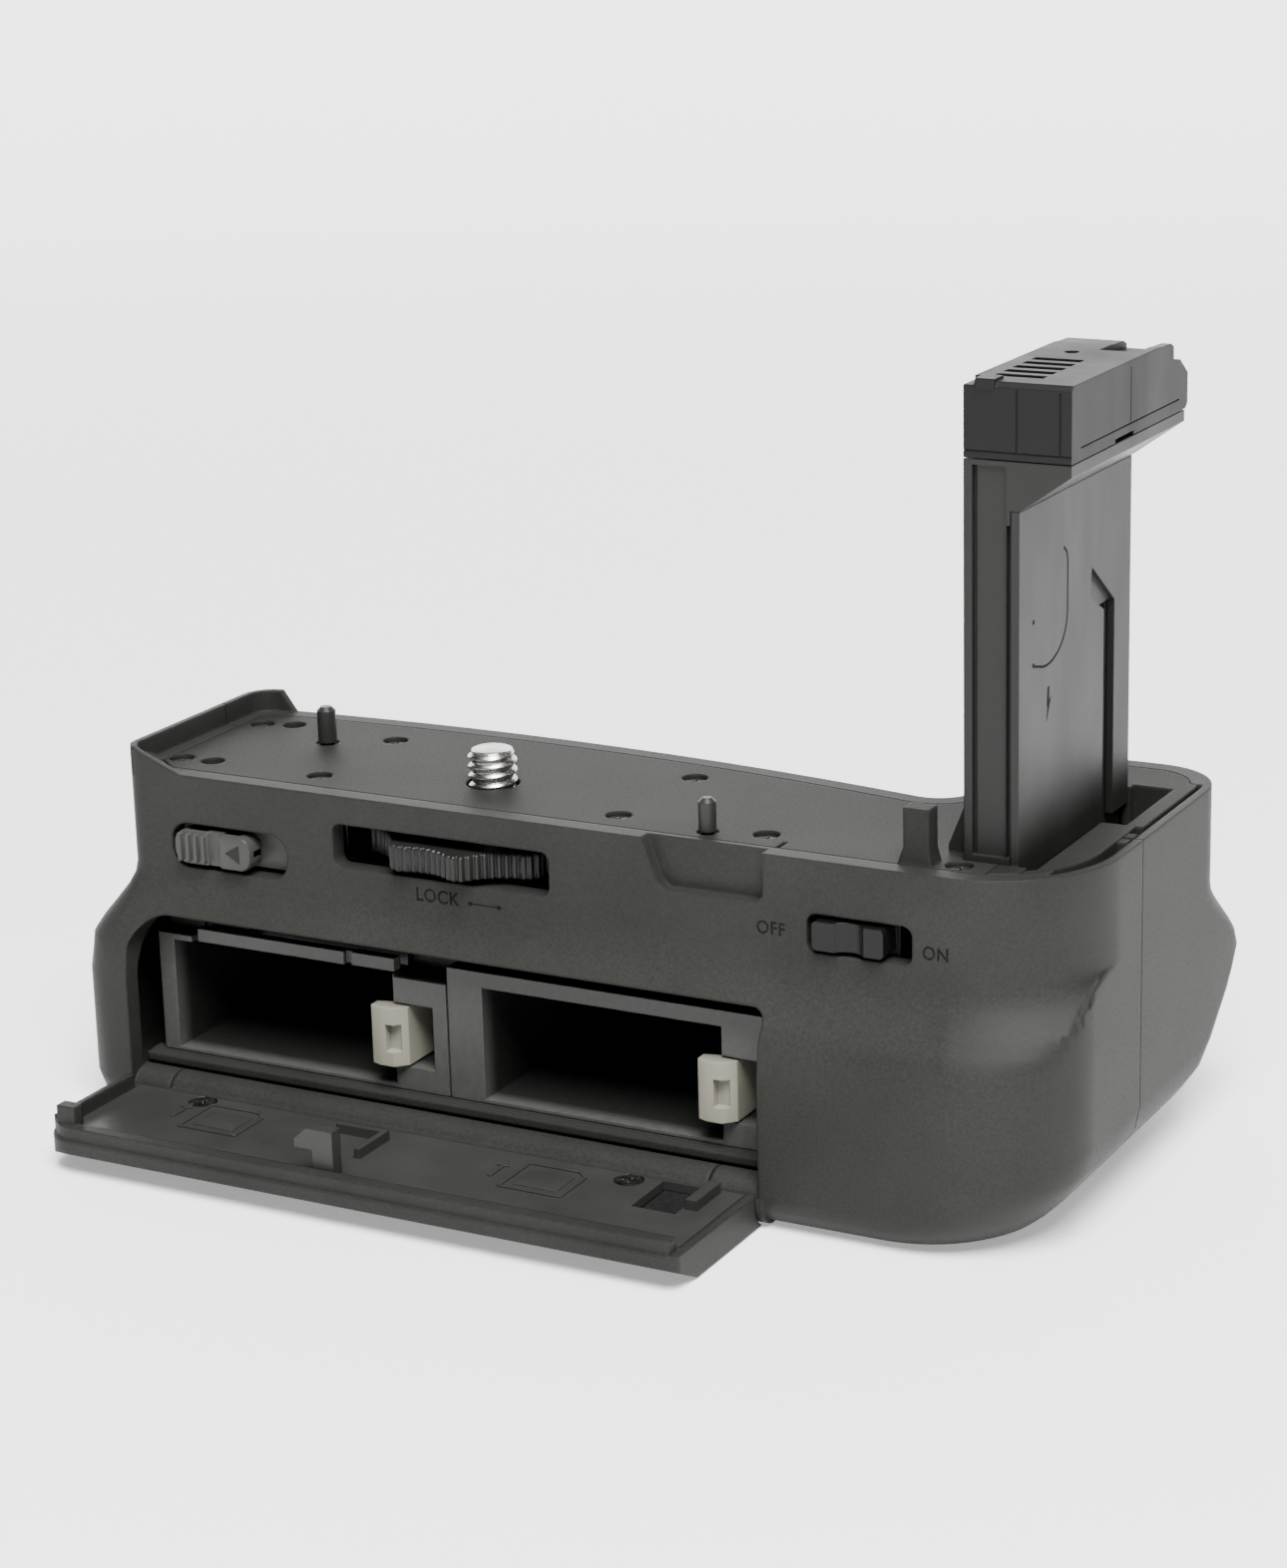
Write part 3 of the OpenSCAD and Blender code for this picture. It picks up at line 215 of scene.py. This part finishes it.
def lacquer(name, colour):
    """Solder-resist lacquer of the board, with copper showing faintly through."""
    f = Finish(name)
    tracks = f.node("ShaderNodeTexBrick", Scale=420.0, **{"Mortar Size": 0.12})
    f.link(f.coords, tracks.inputs["Vector"])
    base = f.mix(tracks.outputs["Fac"], colour, shade(colour, 1.8))
    f.bump(tracks.outputs["Fac"], 0.3, 0.00005)
    return f.done(Base_Color=base, Roughness=0.3)


def ink(name, colour):
    """Matt pad print, uneven where it takes the grain of the plastic; the same ink makes the dark sheet of
    painted shade under the door's window.
    """
    f = Finish(name)
    fine = f.noise(2600.0, 3.0, 0.6)
    base = f.ramp(fine, [(0.4, colour), (0.75, shade(colour, 2.2))])
    f.bump(fine, 0.2, 0.00003)
    return f.done(Base_Color=base, Roughness=0.85, Specular_IOR_Level=0.08)


FINISHES = {}


def finish(kind):
    """Each finish is made once, when its first piece asks for it."""
    if kind not in FINISHES:
        p = bpy.context.scene.grip_looks
        FINISHES[kind] = {
            "casing": lambda: moulded_plastic("casing plastic", tuple(p.casing_colour)),
            # Deck: the casing colour darkened to 0.8, a painted shade offsetting the bright sheen its top takes
            # from the backdrop
            "deck": lambda: moulded_plastic("deck plastic with painted shade", shade(tuple(p.casing_colour), 0.8), 0.6),
            "tower": lambda: satin_plastic("tower plastic", tuple(p.tower_colour), 0.42),
            "head": lambda: satin_plastic("tower head plastic", tuple(p.head_colour), 0.5),
            "control": lambda: satin_plastic("control plastic", tuple(p.control_colour), 0.38),
            "wheel": lambda: satin_plastic("wheel plastic", shade(tuple(p.control_colour), 0.6), 0.36),
            "knob": lambda: satin_plastic("knob plastic", shade(tuple(p.control_colour), 0.18), 0.34),
            "button": lambda: satin_plastic("button plastic", shade(tuple(p.control_colour), 1.9), 0.42),
            "inner": lambda: bay_plastic("bay plastic with painted shade", tuple(p.bay_colour)),
            # Signs: the lining colour darkened to 0.3, a painted shade for the shadow along the signs' moulded
            # lines
            "sign": lambda: satin_plastic("sign plastic with painted shade", shade(tuple(p.panel_colour), 0.3), 0.5),
            "panel": lambda: satin_plastic("door lining plastic", tuple(p.panel_colour), 0.34),
            "latch": lambda: satin_plastic("natural latch plastic", tuple(p.latch_colour), 0.42),
            "screw": lambda: turned_metal("plated screw", (0.52, 0.51, 0.49), 0.24),
            "black_screw": lambda: turned_metal("blackened screw", (0.11, 0.11, 0.11), 0.38),
            "steel": lambda: turned_metal("sheet steel", (0.56, 0.56, 0.55), 0.35),
            "contact": lambda: turned_metal("gold-plated contact", (0.83, 0.62, 0.28), 0.28),
            "board": lambda: lacquer("board lacquer", (0.03, 0.12, 0.05)),
            "print": lambda: ink("switch print and window shade ink", tuple(p.print_and_shade_colour)),
        }[kind]()
    return FINISHES[kind]


def give(obj, kind):
    obj.data.materials.clear()
    obj.data.materials.append(finish(kind))


def even_out(obj):
    """Joins the node's loose triangles and shades its curved faces smoothly and its flat ones flat."""
    weld = obj.modifiers.new("merge", "WELD")
    weld.merge_threshold = 2e-6
    split = obj.modifiers.new("corners", "EDGE_SPLIT")
    split.split_angle = math.radians(33)
    even = obj.modifiers.new("shading", "WEIGHTED_NORMAL")
    even.mode = "FACE_AREA"
    for f in obj.data.polygons:
        f.use_smooth = True


NODE_FINISH = {
    "casing": ["rear_shell", "front_shell", "door_shell"],
    "deck": ["top_plate"],
    "tower": ["tower_column", "tower_cover"],
    "head": ["tower_head"],
    "knob": ["power_knob"],
    "control": ["release_button", "shutter_button", "lock_wheel", "locating_pins"],
    "inner": ["left_frame", "right_frame", "catch_bar"],
    "panel": ["door_panel", "door_hook"],
    "latch": ["left_latch", "right_latch"],
    "screw": ["tripod_screw"],
    "black_screw": ["deck_screws", "door_screws", "case_screws", "screw_bracket"],
    "steel": ["hinge_pins", "tripod_bush"],
    "contact": ["tower_contacts", "left_contacts", "right_contacts"],
    "board": ["circuit_board"],
}


# Piece helpers


def piece(bm, name, body, kind, replaces=(), flat=False):
    """Makes the mesh a piece that rides on a body, in millimetres up to here."""
    bmesh.ops.scale(bm, vec=(MM, MM, MM), verts=bm.verts)
    bmesh.ops.recalc_face_normals(bm, faces=bm.faces)
    mesh = bpy.data.meshes.new(name)
    bm.to_mesh(mesh)
    bm.free()
    if flat:
        mesh.shade_flat()
    else:
        mesh.shade_smooth()
        mesh.set_sharp_from_angle(angle=math.radians(32))
    obj = bpy.data.objects.new(name, mesh)
    bpy.context.scene.collection.objects.link(obj)
    give(obj, kind)
    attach(obj, body)
    if replaces:
        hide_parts(*replaces)
    return obj


def prism(bm, outline, height, place=None, edge=0.0):
    """A flat outline in X and Y raised by height, its upper edge broken by edge, then put in place."""
    verts = [bm.verts.new((x, y, 0.0)) for x, y in outline]
    base = bm.faces.new(verts)
    made = bmesh.ops.extrude_face_region(bm, geom=[base], use_keep_orig=True)["geom"]
    top = [g for g in made if isinstance(g, bmesh.types.BMVert)]
    bmesh.ops.translate(bm, verts=top, vec=(0, 0, height))
    if edge:
        rim = [g for g in made if isinstance(g, bmesh.types.BMEdge)]
        out = bmesh.ops.bevel(bm, geom=rim, offset=edge, segments=2, profile=0.5, affect="EDGES", material=-1)
        top += out["verts"]
    every = {v for v in verts + top if v.is_valid}
    if place:
        bmesh.ops.transform(bm, matrix=place, verts=list(every))


def ring_of(bm, radius, count, z):
    made = bmesh.ops.create_circle(bm, segments=count, radius=radius)["verts"]
    bmesh.ops.translate(bm, verts=made, vec=(0, 0, z))
    return made


def turned(bm, profile, steps=64):
    """A solid of revolution about Z from [radius, height] points; the ends on the axis close it."""
    verts = [bm.verts.new((r, 0.0, z)) for r, z in profile]
    edges = [bm.edges.new(pair) for pair in zip(verts, verts[1:])]
    bmesh.ops.spin(bm, geom=verts + edges, cent=(0, 0, 0), axis=(0, 0, 1), angle=math.tau, steps=steps)
    bmesh.ops.remove_doubles(bm, verts=bm.verts, dist=1e-4)


def strip(points, width):
    """Outline of a bar of the given width along a polyline."""
    left, right = [], []
    for i, (x, y) in enumerate(points):
        a = points[max(i - 1, 0)]
        b = points[min(i + 1, len(points) - 1)]
        dx, dy = b[0] - a[0], b[1] - a[1]
        k = width / 2 / math.hypot(dx, dy)
        left.append((x - dy * k, y + dx * k))
        right.append((x + dy * k, y - dx * k))
    return right + left[::-1]


def wall_frame(x, y, z):
    """Outline X runs along +X, outline Y up, and its height towards the viewer."""
    return Matrix.Translation((x, y, z)) @ Matrix.Rotation(SQUARE, 4, "X")


def side_frame(x, y, z):
    """Outline X runs along +Y, outline Y up, and its height towards +X."""
    upright = Matrix.Rotation(SQUARE, 4, "Z") @ Matrix.Rotation(SQUARE, 4, "X")
    return Matrix.Translation((x, y, z)) @ upright


def colour_prop(name, about, value):
    return bpy.props.FloatVectorProperty(
        name=name, description=about, subtype="COLOR", size=3, default=value)


class GripLooks(bpy.types.PropertyGroup):
    """Colours, small sizes, glow and camera, each set here once"""

    casing_colour: colour_prop("Casing", "Colour of the moulded casing", (0.0205, 0.0207, 0.0190))
    tower_colour: colour_prop("Tower", "Colour of the tower", (0.0130, 0.0130, 0.0123))
    head_colour: colour_prop("Tower head", "Colour of the tower's head", (0.0036, 0.0038, 0.0043))
    control_colour: colour_prop("Controls", "Colour of buttons, wheel and pins", (0.0195, 0.0196, 0.0186))
    bay_colour: colour_prop("Bays", "Colour inside the bays", (0.055, 0.055, 0.052))
    panel_colour: colour_prop("Door lining", "Colour of the door's lining", (0.0250, 0.0252, 0.0238))
    latch_colour: colour_prop("Latches", "Colour of the cell latches", (0.245, 0.238, 0.190))
    # The lettering colour is also the painted shade sheet under the door's window
    print_and_shade_colour: colour_prop("Lettering", "Colour of the switch lettering", (0.006, 0.006, 0.006))
    thread_height: bpy.props.FloatProperty(
        name="Thread height", description="Screw top above the deck", unit="LENGTH", default=0.0046)
    rib_count: bpy.props.IntProperty(
        name="Wheel ribs", description="Fine ribs round the lock wheel", default=100)
    rib_depth: bpy.props.FloatProperty(
        name="Rib depth", description="Depth of the wheel's ribs", unit="LENGTH", default=0.00035)
    floor_colour: colour_prop("Floor", "Colour of the studio floor", (0.96, 0.96, 0.96))
    floor_glow: bpy.props.FloatProperty(
        name="Floor glow", description="Light of the paper round the grip", default=0.4)
    far_glow: bpy.props.FloatProperty(
        name="Backdrop glow", description="Light of the paper far behind", default=2.4)
    azimuth: bpy.props.FloatProperty(
        name="Azimuth", description="Camera turned round the grip", subtype="ANGLE", default=math.radians(28.63))
    elevation: bpy.props.FloatProperty(
        name="Elevation", description="Camera above the horizon", subtype="ANGLE", default=math.radians(16.45))
    roll: bpy.props.FloatProperty(
        name="Roll", description="Camera tilt in the picture", subtype="ANGLE", default=math.radians(-1.55))
    distance: bpy.props.FloatProperty(
        name="Distance", description="Camera to the screw axis", unit="LENGTH", default=0.46778)
    lens: bpy.props.FloatProperty(name="Lens", description="Focal length in millimetres", default=84.13)


class GRIP_OT_stage(bpy.types.Operator):
    """Builds the pale floor, the studio lights and the camera"""

    bl_idname = "grip.stage"
    bl_label = "Stage and camera"

    def execute(self, context):
        p = context.scene.grip_looks
        a, e, r = p.azimuth, p.elevation, p.roll
        back = Vector((math.sin(a) * math.cos(e), -math.cos(a) * math.cos(e), math.sin(e)))
        right = Vector((math.cos(a), math.sin(a), 0.0))
        up = back.cross(right)
        data = bpy.data.cameras.new("camera")
        data.lens, data.sensor_width = p.lens, 36.0
        cam = bpy.data.objects.new("camera", data)
        context.scene.collection.objects.link(cam)
        x = right * math.cos(r) + up * math.sin(r)
        y = -right * math.sin(r) + up * math.cos(r)
        place = right * 0.01916 + up * -0.00071 + back * p.distance
        cam.matrix_world = Matrix((x, y, back)).transposed().to_4x4()
        cam.matrix_world.translation = place
        context.scene.camera = cam

        half, rise, sweep, clear = 1.6, 1.4, 0.7, 0.0002
        bm = bmesh.new()
        bmesh.ops.create_grid(bm, x_segments=2, y_segments=2, size=half)
        back_edge = [e for e in bm.edges if all(v.co.y > half - 0.1 for v in e.verts)]
        lifted = bmesh.ops.extrude_edge_only(bm, edges=back_edge)["geom"]
        lifted = [g for g in lifted if isinstance(g, bmesh.types.BMVert)]
        bmesh.ops.translate(bm, verts=lifted, vec=(0, 0, rise))
        seam = [e for e in bm.edges if all(abs(v.co.y - half) < 1e-4 and abs(v.co.z) < 1e-4 for v in e.verts)]
        bmesh.ops.bevel(bm, geom=seam, offset=sweep, segments=16, profile=0.5, affect="EDGES", material=-1)
        place = Matrix.Translation((0, 0, CAD_BOX[0].z - clear)) @ Matrix.Rotation(a, 4, "Z")
        bmesh.ops.transform(bm, matrix=place, verts=bm.verts)
        floor = self.add(bm, "studio_floor")
        f = Finish("studio paper")
        fibre = f.noise(900.0, 3.0, 0.6)
        paper = tuple(p.floor_colour)
        base = f.ramp(fibre, [(0.3, shade(paper, 0.99)), (0.7, shade(paper, 1.01))])
        span = f.node("ShaderNodeVectorMath", operation="LENGTH")
        f.link(f.coords, span.inputs[0])
        glow = f.node("ShaderNodeMapRange", **{"From Min": 0.15, "From Max": 1.3,
                                               "To Min": p.floor_glow, "To Max": p.far_glow})
        f.link(span.outputs["Value"], glow.inputs["Value"])
        floor.data.materials.append(f.done(Base_Color=base, Roughness=0.9, Emission_Color=(1.0, 1.0, 1.0),
                                           Emission_Strength=glow.outputs["Result"]))

        world = bpy.data.worlds.new("studio")
        context.scene.world = world
        world.use_nodes = True
        world.node_tree.nodes["Background"].inputs["Color"].default_value = (0.96, 0.97, 1.0, 1.0)
        world.node_tree.nodes["Background"].inputs["Strength"].default_value = 0.05
        self.light("key", right * 0.1 + back * 0.62 + Vector((0, 0, 0.8)), 0.7, 42.0)
        self.light("top", Vector((0.1, -0.2, 1.0)), 0.8, 5.0)
        self.light("side", right * 0.9 + back * 0.2 + Vector((0, 0, 0.45)), 0.5, 1.2)
        return {"FINISHED"}

    def add(self, bm, name):
        mesh = bpy.data.meshes.new(name)
        bm.to_mesh(mesh)
        bm.free()
        mesh.shade_smooth()
        obj = bpy.data.objects.new(name, mesh)
        bpy.context.scene.collection.objects.link(obj)
        return obj

    def light(self, name, at, size, power):
        data = bpy.data.lights.new(name, "AREA")
        data.shape, data.size, data.energy = "DISK", size, power
        obj = bpy.data.objects.new(name, data)
        bpy.context.scene.collection.objects.link(obj)
        obj.location = at
        obj.rotation_mode = "QUATERNION"
        obj.rotation_quaternion = (at - Vector((0.01, 0, 0))).to_track_quat("Z", "Y")


class GRIP_OT_finish_nodes(bpy.types.Operator):
    """Gives every CAD node its finish and even shading"""

    bl_idname = "grip.finish_nodes"
    bl_label = "Finish the moulded parts"

    def execute(self, context):
        for kind, names in NODE_FINISH.items():
            for name in names:
                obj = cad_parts[name]
                give(obj, kind)
                even_out(obj)
        return {"FINISHED"}


class GRIP_OT_tripod_screw(bpy.types.Operator):
    """Makes the tripod screw with its real quarter inch thread"""

    bl_idname = "grip.tripod_screw"
    bl_label = "Tripod screw"

    def execute(self, context):
        p = context.scene.grip_looks
        crest, root, pitch = 3.16, 2.62, 1.27
        bm = bmesh.new()
        half = [(root, -0.5 * pitch), (root + 0.04, -0.4 * pitch), (crest - 0.03, -0.11 * pitch),
                (crest, -0.05 * pitch), (crest, 0.05 * pitch), (crest - 0.03, 0.11 * pitch),
                (root + 0.04, 0.4 * pitch), (root, 0.5 * pitch)]
        start = -2.2
        verts = [bm.verts.new((r, 0.0, start + z)) for r, z in half]
        edges = [bm.edges.new(pair) for pair in zip(verts, verts[1:])]
        turns, per = 6, 72
        bmesh.ops.spin(bm, geom=verts + edges, cent=(0, 0, 0), axis=(0, 0, 1), angle=math.tau * turns,
                       dvec=(0, 0, pitch / per), steps=turns * per)
        bmesh.ops.remove_doubles(bm, verts=bm.verts, dist=1e-4)
        top = p.thread_height / MM
        for height, out in ((top - 0.3, True), (-1.6, False)):
            bmesh.ops.bisect_plane(bm, geom=bm.verts[:] + bm.edges[:] + bm.faces[:], dist=1e-5,
                                   plane_co=(0, 0, height), plane_no=(0, 0, 1),
                                   clear_outer=out, clear_inner=not out)
        for v in bm.verts:
            r = math.hypot(v.co.x, v.co.y)
            most = max(root - 0.05, crest - max(0.0, v.co.z - (top - 0.85)) * 1.0)
            if r > most:
                v.co.x, v.co.y = v.co.x * most / r, v.co.y * most / r
        rims = [e for e in bm.edges
                if e.is_boundary and all(abs(v.co.z - (top - 0.3)) < 1e-3 for v in e.verts)]
        bmesh.ops.edgeloop_fill(bm, edges=rims)
        core = root - 0.02
        turned(bm, [(0.0, top), (2.35, top), (2.62, top - 0.12), (2.66, top - 0.45), (core, top - 0.7),
                    (core, -1.5), (core, -5.0), (2.4, -5.4), (2.4, -11.3), (2.2, -11.4), (0.0, -11.4)])
        piece(bm, "tripod_screw_threaded", "screw", "screw", ["tripod_screw"])
        return {"FINISHED"}


class GRIP_OT_lock_wheel(bpy.types.Operator):
    """Makes the thumb wheel with its lobes and fine ribs"""

    bl_idname = "grip.lock_wheel"
    bl_label = "Lock wheel"

    def rim(self, angle, p):
        """Radius of the scalloped rim at an angle, with its ribs cut in."""
        big, scallop, centre = 15.9, 8.0, 22.3
        step = math.radians(36)
        t = (angle - math.radians(-96) + step / 2) % step - step / 2
        r = big
        reach = scallop ** 2 - (centre * math.sin(t)) ** 2
        if reach > 0:
            r = min(big, centre * math.cos(t) - math.sqrt(reach))
        return r - p.rib_depth / MM * (0.5 - 0.5 * math.cos(angle * p.rib_count)) ** 1.5 - 0.02

    def loop(self, bm, ring):
        """Edges whose two ends are in the ring."""
        members = set(ring)
        return [e for e in bm.edges if e.verts[0] in members and e.verts[1] in members]

    def execute(self, context):
        p = context.scene.grip_looks
        bm = bmesh.new()
        count = 1200
        low, high, edge = -8.4, -5.1, 0.22
        rings = []
        for z, inset in ((low, edge), (low + edge, 0.0), (high - edge, 0.0), (high, edge)):
            verts = ring_of(bm, 1.0, count, z)
            for v in verts:
                angle = math.atan2(v.co.y, v.co.x)
                r = self.rim(angle, p) - inset
                v.co.x, v.co.y = r * math.cos(angle), r * math.sin(angle)
            rings.append(verts)
        edges = [self.loop(bm, ring) for ring in rings]
        for a, b in zip(edges, edges[1:]):
            bmesh.ops.bridge_loops(bm, edges=a + b)
        for loop, z in ((edges[0], low), (edges[-1], high)):
            bmesh.ops.bridge_loops(bm, edges=loop + self.loop(bm, ring_of(bm, 5.4, count, z)))
        turned(bm, [(3.2, -3.95), (5.2, -3.95), (5.45, -4.2), (5.45, -8.6), (5.3, -8.85), (2.5, -8.85)], 96)
        piece(bm, "lock_wheel_ribbed", "screw", "wheel", ["lock_wheel"])
        return {"FINISHED"}


class GRIP_OT_lettering(bpy.types.Operator):
    """Sets the switch words and signs on the rear wall"""

    bl_idname = "grip.lettering"
    bl_label = "Lettering"

    def word(self, text, left, base, size, width=1.0):
        curve = bpy.data.curves.new("word_" + text, "FONT")
        curve.body, curve.size, curve.extrude = text, 1.0, PRINT
        curve.space_character = 1.1
        curve.offset = 0.018
        holder = bpy.data.objects.new("word_holder", curve)
        bpy.context.scene.collection.objects.link(holder)
        mesh = bpy.data.meshes.new_from_object(holder.evaluated_get(bpy.context.evaluated_depsgraph_get()))
        bm = bmesh.new()
        bm.from_mesh(mesh)
        bpy.data.objects.remove(holder)
        bpy.data.meshes.remove(mesh)
        bmesh.ops.scale(bm, vec=(size * width, size, 1.0), verts=bm.verts)
        place = wall_frame(left, NEAR_WALL, base)
        bmesh.ops.transform(bm, matrix=place, verts=bm.verts)
        return bm

    def execute(self, context):
        for text, *place in (("LOCK", -4.1, -12.3, 2.45, 0.92), ("OFF", 43.9, -10.0, 2.3, 0.9),
                             ("ON", 65.6, -10.3, 2.3, 0.9)):
            piece(self.word(text, *place), "word_" + text, "casing", "print", flat=True)
        bm = bmesh.new()
        at = wall_frame(0, NEAR_WALL, 0)
        prism(bm, strip([(3.9, -11.75), (8.1, -11.75)], 0.16), PRINT, at)
        prism(bm, [(8.6, -11.75), (7.9, -11.35), (7.9, -12.15)], PRINT, at)
        prism(bm, [(3.6, -11.5), (4.1, -11.5), (4.1, -12.0), (3.6, -12.0)], PRINT, at)
        piece(bm, "lock_arrow", "casing", "print", flat=True)
        return {"FINISHED"}


class GRIP_OT_release_button(bpy.types.Operator):
    """Makes the release button: ribbed pad, finger valley and plate with its arrow"""

    bl_idname = "grip.release_button"
    bl_label = "Release button"

    def rounded(self, x0, x1, half, left, right):
        """Outline from x0 to x1, its left and right corners rounded by their radii."""
        corners = [(x0, -half, left, 180), (x1, -half, right, 270),
                   (x1, half, right, 0), (x0, half, left, 90)]
        out = []
        for x, z, r, start in corners:
            cx, cz = x + (r if x == x0 else -r), z + (r if z < 0 else -r)
            turns = [math.radians(start + a) for a in range(0, 91, 15)]
            out += [(cx + r * math.cos(t), cz + r * math.sin(t)) for t in turns]
        return out

    def execute(self, context):
        left, right, half, level = -40.4, -28.4, 2.3, BUTTON_LEVEL
        bm = bmesh.new()
        foot = wall_frame(0, -11.7, level)
        prism(bm, self.rounded(left, right, half, 1.9, 1.9), 1.8, foot, 0.15)
        prism(bm, self.rounded(left, -35.1, half, 1.9, 0.3), 2.15, foot, 0.25)
        prism(bm, self.rounded(-33.2, right, half, 0.4, 1.7), 2.6, foot, 0.35)
        for i in range(4):
            x = left + 0.75 + i * 1.22
            prism(bm, self.rounded(x, x + 0.62, half - 0.35, 0.28, 0.28), 2.75, foot, 0.2)
        prism(bm, self.rounded(left - 0.2, -22.8, 3.0, 0.2, 0.2), 1.2, wall_frame(0, -10.1, level + 0.7), 0.1)
        piece(bm, "release_button_ribbed", "release", "button", ["release_button"])
        bm = bmesh.new()
        # The release arrow is dark with the sign finish's painted shade
        prism(bm, [(-32.2, 0.0), (-30.0, -1.3), (-30.0, 1.3)], 0.015, wall_frame(0, -14.3, level))
        piece(bm, "release_arrow", "release", "sign", flat=True)
        return {"FINISHED"}


class GRIP_OT_door_signs(bpy.types.Operator):
    """Raises the cell signs and their small arrows on the door's lining, and lays a dark sheet of painted shade
    under its window
    """

    bl_idname = "grip.door_signs"
    bl_label = "Door signs"

    # Outline of the dark sheet of painted shade under the lining's window
    window = [(34.2, -28.2), (39.8, -28.2), (39.8, -20.0), (34.2, -20.0)]

    def execute(self, context):
        for name, left in (("left", -31.0), ("right", 16.4)):
            bm = bmesh.new()
            at = Matrix.Translation((left, 0, LINING_TOP - 0.02))
            corners = [(0.0, -29.8), (8.6, -29.8), (8.6, -23.4), (7.2, -22.0), (0.0, -22.0)]
            for a, b in zip(corners, corners[1:] + corners[:1]):
                prism(bm, strip([a, b], 0.45), 0.26, at, 0.08)
            prism(bm, [(1.2, -28.6), (7.4, -28.6), (7.4, -23.9), (1.2, -23.9)], 0.14, at, 0.05)
            prism(bm, strip([(-2.6, -27.6), (-2.6, -24.0)], 0.5), 0.24, at, 0.08)
            prism(bm, [(-3.5, -24.2), (-1.7, -24.2), (-2.6, -22.6)], 0.24, at, 0.08)
            piece(bm, "cell_sign_" + name, "door", "panel")
        bm = bmesh.new()
        prism(bm, self.window, 0.1, Matrix.Translation((0, 0, LINING_TOP - 1.25)))
        # Painted shade: a near-black sheet in the lettering ink, where the window holds only shade
        piece(bm, "window_painted_shade", "door", "print", flat=True)
        return {"FINISHED"}


class GRIP_OT_tower_marks(bpy.types.Operator):
    """Draws the parting groove, ejector dots and charge sign on the tower's cover"""

    bl_idname = "grip.tower_marks"
    bl_label = "Tower marks"

    def execute(self, context):
        bm = bmesh.new()
        at = side_frame(COVER_FACE, 0, 0)
        line = [(7.9, 35.4), (8.8, 34.6), (9.1, 33.6)] + [(9.1, z) for z in (30.0, 27.5)]
        turns = [math.radians(-a) for a in range(9, 100, 9)]
        line += [(2.6 + 6.5 * math.cos(t), 27.5 + 5.2 * math.sin(t)) for t in turns]
        line += [(0.3, 22.7), (-1.0, 23.0)]
        prism(bm, strip(line, 0.3), PRINT, at)
        dot = [math.tau * i / 16 for i in range(16)]
        for y, z in ((-1.4, 28.4), (-1.4, 23.2)):
            prism(bm, [(y + 0.3 * math.cos(t), z + 0.3 * math.sin(t)) for t in dot], PRINT, at)
        bolt = [(3.0, 19.6), (3.5, 19.6), (3.4, 17.9), (4.1, 18.3), (2.7, 15.4), (3.0, 17.2), (2.8, 17.3)]
        prism(bm, bolt, PRINT, at)
        piece(bm, "tower_marks", "casing", "print", flat=True)
        return {"FINISHED"}


OPERATORS = [GRIP_OT_stage, GRIP_OT_finish_nodes, GRIP_OT_tripod_screw, GRIP_OT_lock_wheel, GRIP_OT_lettering,
             GRIP_OT_release_button, GRIP_OT_door_signs, GRIP_OT_tower_marks]


class GRIP_PT_looks(bpy.types.Panel):
    """Lists the grip's looks in the sidebar"""

    bl_idname = "GRIP_PT_looks"
    bl_label = "Battery grip"
    bl_space_type = "VIEW_3D"
    bl_region_type = "UI"
    bl_category = "Grip"

    def draw(self, context):
        for name in GripLooks.__annotations__:
            self.layout.prop(context.scene.grip_looks, name)
        for op in OPERATORS:
            self.layout.operator(op.bl_idname)


CLASSES = [GripLooks, *OPERATORS, GRIP_PT_looks]


def register():
    for c in CLASSES:
        bpy.utils.register_class(c)
    bpy.types.Scene.grip_looks = bpy.props.PointerProperty(type=GripLooks)


def unregister():
    del bpy.types.Scene.grip_looks
    for c in reversed(CLASSES):
        bpy.utils.unregister_class(c)


def main():
    register()
    for op in OPERATORS:
        group, name = op.bl_idname.split(".")
        getattr(getattr(bpy.ops, group), name)()


if __name__ == "__main__":
    main()
